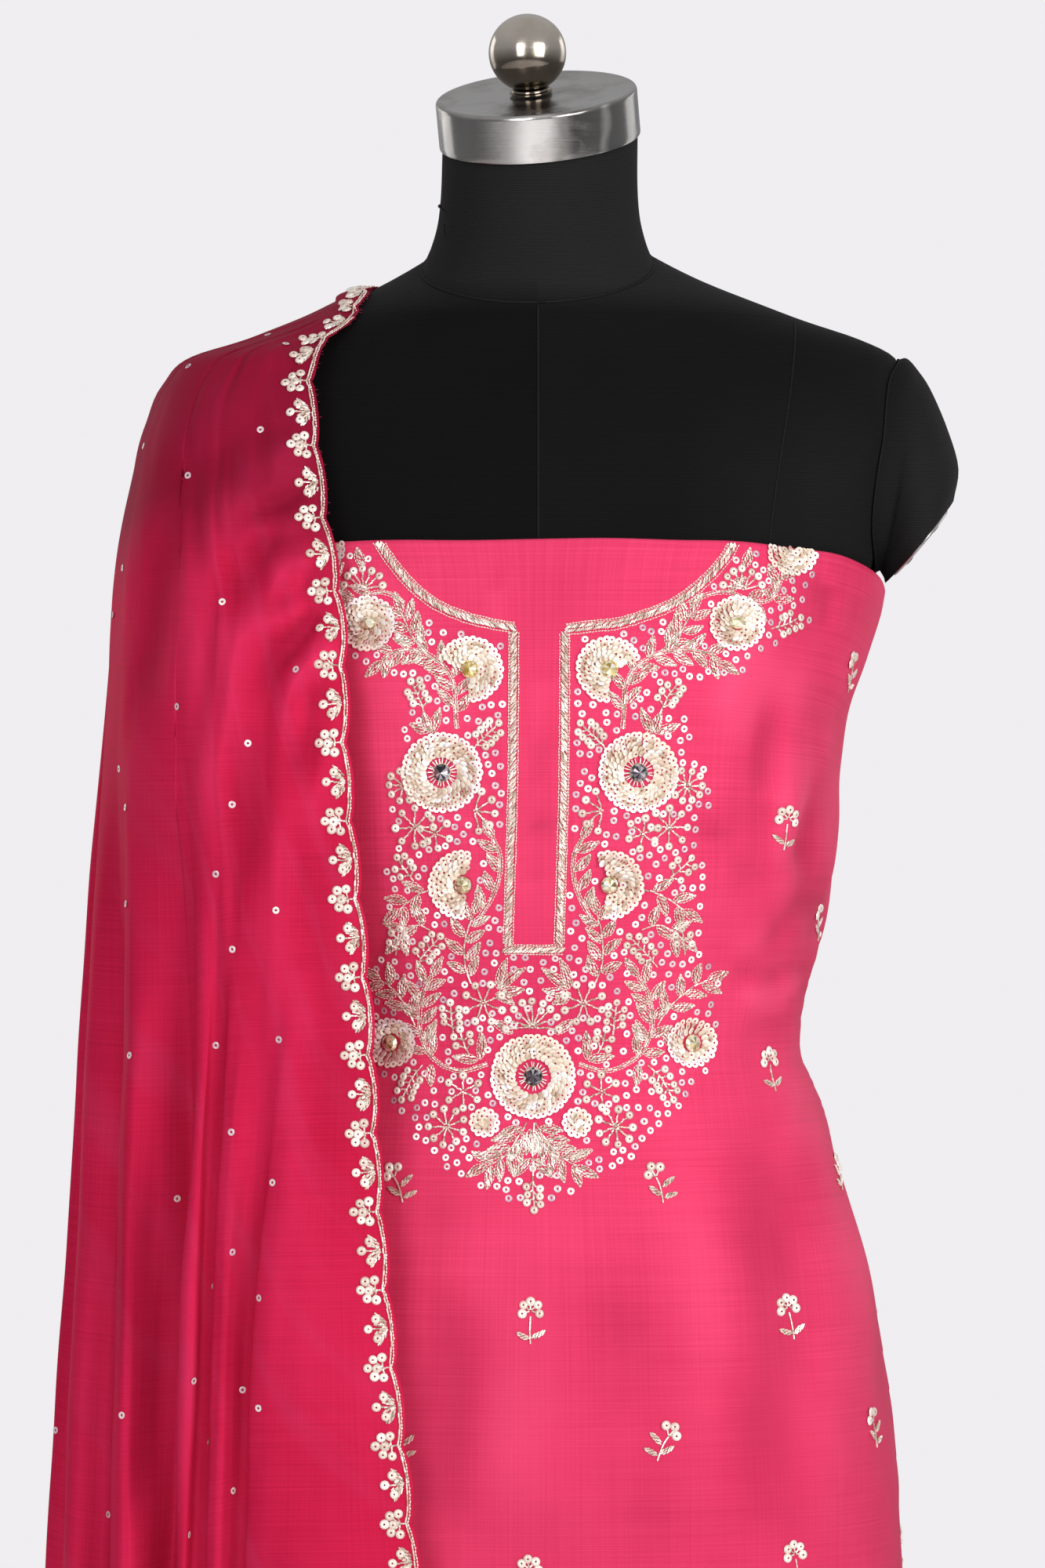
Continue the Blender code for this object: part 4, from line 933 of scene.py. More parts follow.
def build_salwar(mat):
    cols, rows = 181, 90
    u = np.linspace(-1, 1, cols)
    z = np.linspace(SALWAR_HEM, SALWAR_TOP, rows)[:, None]
    w = smooth(0.765, 0.800, z)
    sec = []
    for i, c in enumerate(("half", "front", "back", "square")):
        sec.append((column(FORM, c, z) + (SALWAR_OFF if i < 3 else 0)) * w + column(SALWAR_FALL, c, z) * (1 - w))
    phi = u[None, :] * 1.04 + 0 * z
    x, y = oval(phi, *sec)
    nx, ny = outward(phi, sec)
    lap = smooth(0.86, 0.945, phi) * 0.0027
    wave = -0.006 * (1 - smooth(0.10, 0.60, z)) * (1 + np.cos(phi * math.pi * 9)) / 2
    wave = wave * (1 - smooth(0.80, 0.92, np.abs(phi))) * (z < 0.80)
    small = 0.0010 * np.sin(phi * 21 + 3 * z) * np.sin(z * 17 + phi * 3) * (1 - smooth(0.30, 0.62, z))
    d = lap + wave + small
    grid = np.stack([x + nx * d, y + ny * d, z + 0 * phi], axis=-1)
    uv = np.stack([phi * 0.5, z + 0 * phi], axis=-1)
    obj = new_mesh("salwar_silk", grid.reshape(-1, 3), grid_faces(rows, cols), uv=uv.reshape(-1, 2))
    obj.data.materials.append(mat)
    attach(obj, "root")
    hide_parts("salwar_length")
    return obj


def dupatta_base(f, z):
    reach, fr, bk, square = (column(DUPATTA, c, z) for c in ("reach", "front", "back", "square"))
    edge = column(FRONT_EDGE, "x", z)
    side = DUPATTA_EDGE_X - reach
    a = np.pi * (0.5 - np.linspace(0, 1, 181))[None, :]
    sn, cs = np.sin(a), np.abs(np.cos(a))
    p = (2.0 / square)[:, None]
    cx = np.where(sn > 0, edge[:, None], DUPATTA_EDGE_X + 0.010)
    x = cx - (cx - side[:, None]) * cs ** p
    y = -np.where(sn >= 0, fr[:, None], bk[:, None]) * np.sign(sn) * np.abs(sn) ** p
    step = np.hypot(np.diff(x, axis=1), np.diff(y, axis=1))
    run = np.concatenate([np.zeros((len(z), 1)), np.cumsum(step, axis=1)], axis=1)
    total = run[:, -1]
    out = np.empty((len(z), 4))
    for i in range(len(z)):
        want = np.array([f[i] - 0.004, f[i], f[i] + 0.004]) * total[i]
        px, py = np.interp(want, run[i], x[i]), np.interp(want, run[i], y[i])
        tx, ty = px[2] - px[0], py[2] - py[0]
        m = max(math.hypot(tx, ty), 1e-9)
        out[i] = px[1], py[1], ty / m, -tx / m
    return out[:, 0], out[:, 1], -out[:, 2], -out[:, 3], total


def dupatta_controls():
    rows = [(0.0, 0.0, 0.0, 0.0, 0.0, 1.3, 1.2), (0.05, 0.05, -0.10, 0.0, 0.0, 1.3, 1.2),
            (0.10, 0.10, -0.185, 0.0, 0.0, 1.3, 1.2)]
    before = 0.105
    for k, f in enumerate(FOLDS):
        after = f.at * 0.42 + (FOLDS[k + 1].at if k + 1 < len(FOLDS) else 0.955) * 0.58
        c, far = f.crest, f.crest + f.lap
        for part, folded, deep in ((0.18, -c, 0.0), (0.36, c * 0.4, 0.0), (0.54, far, -0.25), (0.72, far * 0.85, -0.70)):
            rows.append((before + (after - before) * part, f.at, f.drift, folded, deep * f.dip, f.top, f.full))
        rows.append((before + (after - before) * 0.88, after, f.drift, -0.0042, -f.dip, f.top, f.full))
        rows.append((after, after, f.drift, 0.0042, -f.dip * 0.96, f.top, f.full))
        before = after
    rows.append((1.0, 1.0, 0.0, 0.0, 0.0, 1.3, 1.2))
    return np.array(rows)


def dupatta_plan(t, z):
    ctl = dupatta_controls()
    last = len(ctl) - 1
    i = np.clip(np.floor(t * last).astype(int), 0, last - 1)
    e = t * last - i
    total = dupatta_base(np.full(len(z), 0.5), z)[4]
    fs, ds = [], []
    for k in (-1, 0, 1, 2):
        c = ctl[np.clip(i + k, 0, last)]
        g = smooth(0, 1, (c[:, 5] - z) / (c[:, 5] - c[:, 6]))
        folded = c[:, 1] + c[:, 3] / total
        fs.append(c[:, 0] * (1 - g) + folded * g + c[:, 2] * (np.clip(z, 0.55, 1.12) - 0.75))
        ds.append(c[:, 4] * g)
    h = [-0.5 * e + e * e - 0.5 * e ** 3, 1 - 2.5 * e * e + 1.5 * e ** 3,
         0.5 * e + 2 * e * e - 1.5 * e ** 3, -0.5 * e * e + 0.5 * e ** 3]
    f = sum(a * b for a, b in zip(h, fs))
    d = sum(a * b for a, b in zip(h, ds))
    x, y, nx, ny, total = dupatta_base(np.clip(f, 0, 1), z)
    return x + nx * d, y + ny * d


# Drag creases of the dupatta's front, in photo pixels like CREASES.
DRAPES = [
    Crease(428, 700, 330, 905, 0.0120, -0.0026), Crease(440, 765, 352, 960, 0.0120, 0.0024),
    Crease(436, 830, 372, 1010, 0.0110, -0.0022), Crease(400, 640, 296, 860, 0.0130, 0.0024),
    Crease(405, 585, 270, 800, 0.0130, -0.0022), Crease(390, 520, 262, 700, 0.0130, 0.0018),
    Crease(350, 470, 232, 640, 0.0150, -0.0018), Crease(300, 462, 206, 620, 0.0150, 0.0018),
    Crease(446, 900, 400, 1110, 0.0120, 0.0016), Crease(418, 1000, 396, 1290, 0.0140, -0.0014),
    Crease(300, 760, 262, 1080, 0.0120, 0.0018), Crease(330, 860, 300, 1180, 0.0120, -0.0020),
    Crease(215, 640, 178, 960, 0.0130, -0.0020), Crease(250, 640, 220, 960, 0.0120, 0.0018),
    Crease(360, 1010, 340, 1330, 0.0130, 0.0014), Crease(440, 1220, 430, 1650, 0.0180, -0.0014),
    Crease(400, 1400, 392, 1850, 0.0180, 0.0014), Crease(470, 1500, 470, 1950, 0.0160, 0.0010),
    Crease(190, 620, 160, 860, 0.0090, 0.0014), Crease(420, 420, 330, 500, 0.0100, -0.0012),
    Crease(380, 440, 280, 540, 0.0110, 0.0012), Crease(398, 700, 362, 780, 0.0050, 0.0010),
    Crease(412, 742, 378, 824, 0.0050, -0.0010), Crease(420, 796, 392, 880, 0.0050, 0.0010),
    # short gathers fanning out from the embroidered edge
    Crease(395, 536, 318, 566, 0.0060, -0.0012), Crease(398, 560, 330, 596, 0.0060, 0.0014),
    Crease(404, 588, 322, 642, 0.0065, 0.0018), Crease(402, 612, 300, 676, 0.0060, -0.0016),
    Crease(396, 640, 296, 690, 0.0065, 0.0018), Crease(408, 668, 316, 716, 0.0060, -0.0014),
    Crease(416, 716, 336, 780, 0.0065, -0.0019), Crease(420, 744, 340, 812, 0.0060, 0.0019),
    Crease(424, 776, 346, 846, 0.0065, -0.0017), Crease(428, 812, 352, 884, 0.0065, 0.0017),
    Crease(432, 850, 366, 916, 0.0060, -0.0013),
    # a hollow and the fold beside it at the foot of the drape
    Crease(192, 1460, 174, 1985, 0.0075, -0.0028), Crease(230, 1400, 220, 1985, 0.0090, 0.0018),
]


SCALLOP = 39.2       # millimetres from cusp to cusp of the dupatta's long edges


def edge_bow(y, total):
    """How far the cord bows out, millimetres, y millimetres down from the shoulder."""
    ends = smooth(0.0, 9.0, y) * smooth(0.0, 9.0, total - y)
    return 2.9 * np.abs(np.sin(np.pi * (y + 10.0) / SCALLOP)) ** 0.62 * ends


def build_dupatta(mat):
    cols = 325
    t = np.linspace(0, 1, cols)
    hem_z = column(HEM_ROWS, "x", t)
    start = 1.19
    tops = np.concatenate([np.linspace(1.413, 1.372, 22), np.linspace(1.372, start, 44)[1:]])
    rows = [np.full(cols, z) for z in tops]
    for k in np.linspace(0, 1, 140)[1:]:
        rows.append(start + (hem_z - start) * k)
    grid = []
    for zz in rows[::-1]:
        x, y = dupatta_plan(t, zz)
        z = lean(np.stack([x, y, zz + column(FORM, "rise", zz) * y], axis=1))[:, 2]
        grid.append(np.stack([x, y, z], axis=1))
    grid = np.array(grid)
    # normals point out with the columns running back to front
    n = -normals(grid)
    k = 1 + grid[..., 1] / 3.2
    pxg = 666.5 + (grid[..., 0] - CAM[0]) / (PITCH * k)
    pyg = 1000 - (grid[..., 2] - CAM[2]) / (PITCH * k)
    on_front = smooth(0.035, -0.03, grid[..., 1])
    top_ease = smooth(1.412, 1.385, grid[..., 2])
    lift = np.zeros(grid.shape[:2])
    for c in DRAPES:
        lift += segment_bump(pxg, pyg, c.x0, c.y0, c.x1, c.y1, c.width / PITCH) * c.depth * 1.5 * on_front
        # the same drag on the back, mirrored and moved a little
        lift += segment_bump(pxg, pyg, c.x0 + 14, c.y0 - 26, c.x1 + 20, c.y1 + 8, c.width / PITCH) * c.depth * 1.35 * (1 - on_front)
    a = t[None, :] * 1.05 + 0 * lift
    b = grid[..., 2]
    lift += 0.0006 * np.sin(a * 47 + 2.0 * np.sin(b * 13)) * np.sin(b * 21 + 1.7 * np.sin(a * 15))
    lift += 0.0003 * np.sin(a * 117 + 1.4 * np.sin(b * 31)) * np.sin(b * 43 + a * 11)
    near_edge = np.minimum(t, 1 - t)[None, :]
    lift = lift * top_ease * (0.35 + 0.65 * smooth(0.0, 0.05, near_edge))
    lift = np.where(lift < -0.0030, -0.0030, lift)
    grid = grid + n * lift[..., None]
    # 0 in a trough, 1 on a ridge; kept as the cloth's tint attribute to paint shade into the creases and light onto the
    # ridges
    folded = np.clip(0.5 + lift / 0.0065, 0.0, 1.0)

    # close over the shoulder: both halves of the top row meet on a ridge
    top = grid[-1]
    mid = (top + top[::-1]) / 2
    width = np.abs(top[:, 1] - top[::-1, 1])
    over = []
    for s in (0.16, 0.34, 0.54, 0.76, 1.0):
        p = top * (1 - s) + mid * s
        p[:, 2] += (0.0021 + 0.0046 * (width / width.max())) * (1 - (1 - s) ** 2)
        over.append(p)
    grid = np.vstack([grid, np.array(over)])
    folded = np.vstack([folded, np.full((len(over), cols), 0.5)])[:, ::-1]

    # the grid stops just short of the scalloped edges, which follow as fine strips
    for side, j, inner in ((1, 0, 3), (-1, cols - 1, cols - 4)):
        out = unit(grid[:, j] - grid[:, inner])
        for m in range(9):
            grid[:, j + side * m] -= out * (0.0011 * (1 - m / 9.0) ** 1.4)
    cloth = grid[:, ::-1]
    run = np.cumsum(np.vstack([np.zeros((1, cols)), np.linalg.norm(np.diff(cloth, axis=0), axis=2)]), axis=0)
    uv = np.stack([np.broadcast_to(t[::-1] * 1.05, run.shape), run.mean(axis=1, keepdims=True) + 0 * run], axis=-1)
    rows_n = len(cloth)
    faces = grid_faces(rows_n, cols)
    weld = np.arange(rows_n * cols)
    last = (rows_n - 1) * cols
    j = np.arange(cols)
    weld[last + j] = last + np.minimum(j, cols - 1 - j)
    faces = [weld[faces]]
    verts, maps = [cloth.reshape(-1, 3)], [uv.reshape(-1, 2)]
    tints = [folded.reshape(-1)]
    count = len(verts[0])
    facing = normals(cloth)
    for j, inner in ((0, 3), (cols - 1, cols - 4)):
        edge = cloth[:, j]
        run = np.concatenate([[0], np.cumsum(np.linalg.norm(np.diff(edge, axis=0), axis=1))]) * 1000
        out = unit(edge - cloth[:, inner])
        y = np.linspace(0.0, run[-1], int(run[-1] / 1.25))
        at = np.interp(y, run, np.arange(rows_n))
        pick = lambda a: np.stack([np.interp(at, np.arange(rows_n), a[:, k]) for k in range(a.shape[1])], axis=1)
        base, way, face = pick(edge), unit(pick(out)), unit(pick(facing[:, j]))
        wide = (0.2 + edge_bow(run[-1] - y, run[-1])) * 0.001
        curl = 0.00025 * np.sin(y / 5.3) + 0.00018 * np.sin(y / 2.1 + 1.0)
        strip = np.stack([base + way * (wide * s)[:, None] + face * (curl * s)[:, None] for s in (0.0, 0.35, 0.7, 1.0)], axis=1)
        quads = grid_faces(len(y), 4)
        turned = (normals(strip)[:, 1] * face).sum(axis=1).mean() < 0
        faces.append((quads[:, ::-1] if turned else quads) + count)
        verts.append(strip.reshape(-1, 3))
        tints.append(np.repeat(np.interp(at, np.arange(rows_n), folded[:, j]), 4))
        u0 = pick(uv[:, j])
        maps.append(np.stack([u0[:, None, 0] + np.array([0, 0.001, 0.002, 0.003])[None, :], u0[:, None, 1] + np.zeros((1, 4))], axis=-1).reshape(-1, 2))
        count += strip.size // 3
    obj = new_mesh("dupatta_silk", np.vstack(verts), faces, uv=np.vstack(maps), tint=np.concatenate(tints))
    import bmesh
    bm = bmesh.new()
    bm.from_mesh(obj.data)
    bmesh.ops.delete(bm, geom=[v for v in bm.verts if not v.link_faces], context="VERTS")
    bm.to_mesh(obj.data)
    bm.free()
    obj.data.materials.append(mat)
    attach(obj, "root")
    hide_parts("dupatta")
    return obj, Surface(cloth)


# ---------------------------------------------------------------- dress form
def frame_of(axis):
    n = np.array(axis, float)
    n /= np.linalg.norm(n)
    x = np.array([1.0, 0.0, 0.0]) - n * n[0]
    x /= np.linalg.norm(x)
    return x, np.cross(n, x), n


def circle(centre, axis, r, count):
    x, y, n = frame_of(axis)
    a = np.arange(count) * 2 * math.pi / count
    return np.array(centre) + np.outer(np.cos(a), x) * r + np.outer(np.sin(a), y) * r


def form_rings(n, per):
    table = np.array(FORM)
    fine = spline(table, (len(table) - 1) * per + 1)
    phi = np.arange(n) / n * 2.0
    rings = []
    for z, half, fr, bk, sq, rise in fine:
        x, y = oval(phi, half, fr, bk, sq)
        under = 1 - UNDER_CLOTH * (1 - float(smooth(1.262, 1.275, z))) / fr
        rings.append(lean(np.stack([x * under, y * under, z + max(rise, 0) * y], axis=1)))
    return rings


def tube(name, path, r, mat, n=8, flat=1.0, up=(0, -1, 0)):
    """A closed tube along a path."""
    p = np.asarray(path, float)
    t = unit(np.gradient(p, axis=0))
    side = unit(np.cross(t, np.asarray(up, float)))
    nrm = np.cross(side, t)
    a = np.arange(n) * 2 * np.pi / n
    rings = [p[i] + np.outer(np.cos(a), side[i]) * r + np.outer(np.sin(a), nrm[i]) * r * flat for i in range(len(p))]
    obj = loft(name, rings, mat)
    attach(obj, "root")
    return obj


def form_at(phi, z, off=0.0):
    """Points on the form's surface, in the torso's own sections."""
    secs = [column(FORM, c, z) for c in ("half", "front", "back", "square")]
    x, y = oval(phi, *secs)
    nx, ny = outward(phi, secs)
    x, y = x + nx * off, y + ny * off
    return lean(np.stack([x, y, z + column(FORM, "rise", z) * y], axis=-1))


def build_form(cloth, seam, cap_mat, ball_mat, plate_mat):
    made = []
    rings = form_rings(96, 4)
    torso = loft("form_torso_cover", rings, cloth, sharp=50)
    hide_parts("form_torso")
    made.append(torso)

    axis = frame_of(CAP_AXIS)
    cap_top = np.array(CAP_TOP)
    cap_low = cap_top - axis[2] * CAP_H
    last = FORM[-1]
    phi = np.arange(96) / 96 * 2.0
    x0, y0 = oval(phi, last.half, last.front, last.back, 2.0)
    low = lean(np.stack([x0, y0, last.z + last.rise * y0], axis=1))
    low[:, 2] += GAP
    steps = spline([(0.0, 1.0), (0.16, 0.93), (0.36, 0.875), (0.62, 0.850), (1.0, 0.845)], 29)
    neck = []
    for t, size in steps:
        top = (cap_low - axis[2] * GAP + np.outer(x0 / last.half, axis[0]) * 0.0512
               + np.outer(y0 / 0.0517, axis[1]) * 0.0512)
        mix = low * (1 - t) + top * t
        centre = mix.mean(axis=0)
        want = 1.0 if t in (0.0, 1.0) else size / (1 - t + 0.845 * t)
        neck.append(centre + (mix - centre) * want)
    obj = loft("form_neck_cover", neck, cloth, sharp=50)
    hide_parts("form_neck")
    made.append(obj)
    seams = [tube("form_neck_seam", np.vstack([low + [0, 0, -0.0002], low[:2] + [0, 0, -0.0002]]), 0.0010, seam, flat=0.8, up=(0, 0, 1))]

    # steel cap: a drum with a rounded rim and a shallow dished top
    prof = [(0.0006, CAP_R - 0.0006), (0.0, CAP_R - 0.0002), (0.0008, CAP_R)]
    prof += [(h, CAP_R) for h in np.linspace(0.003, CAP_H - 0.0026, 6)]
    for k in range(9):
        a = k / 8 * np.pi / 2
        prof.append((CAP_H - 0.0022 + 0.0022 * math.sin(a), CAP_R - 0.0022 + 0.0022 * math.cos(a)))
    prof += [(CAP_H - 0.0001, CAP_R - 0.0040), (CAP_H - 0.0005, CAP_R - 0.0060), (CAP_H - 0.0006, 0.030), (CAP_H - 0.0004, 0.012)]
    cap = loft("neck_cap_steel", [circle(cap_low + axis[2] * h, axis[2], r, 96) for h, r in prof], cap_mat, sharp=35)
    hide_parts("neck_cap")
    made.append(cap)

    foot = cap_top + axis[2] * GAP + axis[0] * BALL_SHIFT
    prof = [(0.0, 0.0108), (0.0003, 0.0112), (0.0010, 0.0112), (0.0014, 0.0108), (0.0016, 0.0102), (0.0022, 0.0101), (COLLAR_H, 0.0098)]
    collar = loft("cap_collar_steel", [circle(foot + axis[2] * h, axis[2], r, 48) for h, r in prof], ball_mat, sharp=35)
    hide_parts("cap_collar")
    made.append(collar)
    ball_c = foot + axis[2] * (COLLAR_H + GAP + BALL_R * 0.90)
    rings = []
    for k in range(41):
        a = math.radians(-64 + 153.5 * k / 40)
        rings.append(circle(ball_c + axis[2] * BALL_R * math.sin(a), axis[2], BALL_R * math.cos(a), 72))
    ball = loft("cap_ball_steel", rings, ball_mat)
    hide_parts("cap_ball")
    made.append(ball)

    # arm caps
    Fan = namedtuple("Fan", "xo zo xi zi deep")
    fans = [
        Fan(0.1930, 1.3765, 0.1788, 1.2705, 0.0475),
        Fan(0.1993, 1.3695, 0.1794, 1.2700, 0.0490),
        Fan(0.2055, 1.3600, 0.1800, 1.2690, 0.0500),
        Fan(0.2140, 1.3410, 0.1806, 1.2680, 0.0505),
        Fan(0.2197, 1.3220, 0.1812, 1.2668, 0.0495),
        Fan(0.2172, 1.3060, 0.1818, 1.2642, 0.0475),
    ]
    for side, name, shift in ((1, "right", 0.0), (-1, "left", 0.0165)):
        n = 72
        a = np.arange(n) * 2 * math.pi / n
        rings = []
        for scale in (0.45, 0.80, 1.0):
            z = 1.3225 + 0.0535 * scale * np.cos(a)
            y = 0.0465 * scale * np.sin(a)
            half, fr, bk, sq = (column(FORM, c, z) for c in ("half", "front", "back", "square"))
            depth = np.where(y < 0, fr, bk)
            x = half * (1 - np.clip(np.abs(y) / depth, 0, 0.98) ** sq) ** (1 / sq)
            rings.append(np.stack([x + 0.0007 + 0.0014 * (1 - scale), y, z], axis=1))
        for f in fans:
            mid = np.array([(f.xo + f.xi) / 2, 0.0, (f.zo + f.zi) / 2])
            arm = np.array([(f.xo - f.xi) / 2, 0.0, (f.zo - f.zi) / 2])
            p = mid + np.outer(np.cos(a), arm)
            p[:, 1] += f.deep * np.sin(a)
            rings.append(p)
        for r in rings:
            r[:, 0] -= shift * smooth(0.1860, 0.2110, r[:, 0])
        rings = [lean(r * np.array([side, 1, 1])) for r in rings]
        flat = np.array(rings).reshape(len(rings), -1)
        fine = spline(flat[2:], 26)
        fine = [flat[0].reshape(-1, 3), flat[1].reshape(-1, 3)] + [f.reshape(-1, 3) for f in fine]
        obj = loft("arm_cap_%s_cover" % name, fine, cloth, sharp=50)
        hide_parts("arm_cap_" + name)
        made.append(obj)
        ring = rings[2] + np.array([side * 0.0004, 0, 0])
        seams.append(tube("armhole_seam_" + name, np.vstack([ring, ring[:2]]), 0.0007, seam, up=(1, 0, 0)))
        end = rings[-1]
        c = end.mean(axis=0)
        u = end[0] - end[n // 2]
        out = unit(np.cross(np.array([0, 1.0, 0]), u)[None])[0]
        if out[2] > 0:
            out = -out
        plate = []
        for h, s in ((GAP, 0.775), (GAP, 0.78), (0.0009, 0.78), (0.0013, 0.772), (0.0015, 0.758), (0.0016, 0.745), (0.0016, 0.30), (0.0011, 0.28), (0.0011, 0.12)):
            plate.append(c + (end - c) * s + out * h)
        obj = loft("arm_plate_%s_steel" % name, plate, plate_mat, sharp=35)
        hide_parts("arm_plate_" + name)
        made.append(obj)
        # two small screws in each plate
        for k, w in enumerate((0.42, -0.42)):
            at = c + np.array([0, 1.0, 0]) * 0.0 + (end[0] - c) * w * 0.9 + out * 0.0010
            prof = [(0.0, 0.0030), (0.0008, 0.0031), (0.0015, 0.0026), (0.0018, 0.0014)]
            s = loft("arm_plate_%s_screw_%d" % (name, k + 1), [circle(at + out * h, out, r, 20) for h, r in prof], ball_mat, sharp=40)
            made.append(s)

    # centre front, side front and back seams down the chest
    top_z = 1.4280
    for label, f0, f1, z1 in (("centre_front", 0.0, 0.0, 1.27), ("centre_back", 1.0, 1.0, 1.27)):
        z = np.linspace(top_z, z1, 80)
        phi = np.full(80, f0)
        seams.append(tube("seam_" + label, form_at(phi, z, 0.00005), 0.00065, seam, n=6, up=(0, -1 if f0 == 0 else 1, 0)))
    for label, sgn, back in (("side_front_right", 1, 0), ("side_front_left", -1, 0), ("side_back_right", 1, 1), ("side_back_left", -1, 1)):
        z = np.linspace(1.3975, 1.27, 70)
        # starts on the shoulder and runs down over the chest
        target = sgn * (0.1335 - 0.0125 * smooth(1.40, 1.27, z) - 0.004 * (1.3975 - z) / 0.13)
        tryphi = np.linspace(0.0, 0.5, 400)
        pts = []
        for zi, xi in zip(z, target):
            secs = [float(column(FORM, c, zi)) for c in ("half", "front", "back", "square")]
            xs, _ = oval(tryphi, *secs)
            f = float(np.interp(abs(xi), xs, tryphi))
            pts.append(sgn * (f if not back else 1 - f))
        seams.append(tube("seam_" + label, form_at(np.array(pts), z, 0.00005), 0.00055, seam, n=6, up=(0, 1 if back else -1, 0)))
    for o in made:
        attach(o, "root")
    return made


def build_stand(mat):
    up = (0, 0, 1)
    hub_top = BASE_T + 0.004 + 0.034
    made = []
    prof = [(0.0, BASE_R - 0.0012), (0.0008, BASE_R)] + [(BASE_T - 0.0026 + 0.0026 * math.sin(a), BASE_R - 0.0026 + 0.0026 * math.cos(a)) for a in np.linspace(0, 1.5, 6)]
    prof += [(BASE_T + 0.0012, 0.140), (BASE_T + 0.0026, 0.100), (BASE_T + 0.0040, 0.060), (BASE_T + 0.0040, 0.020)]
    made.append((loft("stand_base_steel", [circle((0, 0, h), up, r, 128) for h, r in prof], mat, sharp=40), "stand_base"))
    low = BASE_T + 0.004 + GAP
    prof = [(low, 0.0335), (low + 0.0005, 0.034), (low + 0.0052, 0.034), (low + 0.0062, 0.0332), (low + 0.010, 0.0305),
            (low + 0.020, 0.0262), (hub_top - 0.006, 0.0240), (hub_top - 0.003, 0.0222), (hub_top, 0.0195)]
    made.append((loft("stand_hub_steel", [circle((0, 0, h), up, r, 72) for h, r in prof], mat, sharp=40), "stand_hub"))
    prof = [(hub_top + GAP, POLE_R)] + [(h, POLE_R) for h in np.linspace(hub_top + 0.01, FORM_BOTTOM - 0.01, 12)] + [(FORM_BOTTOM - GAP, POLE_R)]
    made.append((loft("stand_pole_steel", [circle((0, 0, h), up, r, 56) for h, r in prof], mat, sharp=40), "stand_pole"))
    for obj, nodename in made:
        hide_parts(nodename)
        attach(obj, "root")
    # a thumb screw on the hub
    prof = [(0.0, 0.0028), (0.010, 0.0028), (0.0104, 0.0065), (0.0150, 0.0068), (0.0156, 0.0060)]
    at = np.array([0.0, 0.0235, low + 0.0200])
    s = loft("stand_hub_screw", [circle(at + np.array([0, h, 0]), (0, 1, 0.001), r, 24) for h, r in prof], mat, sharp=40)
    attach(s, "root")


# --------------------------------------------------------------- embroidery
def turned(x, y, angle):
    c, s = math.cos(angle), math.sin(angle)
    return x * c - y * s, x * s + y * c


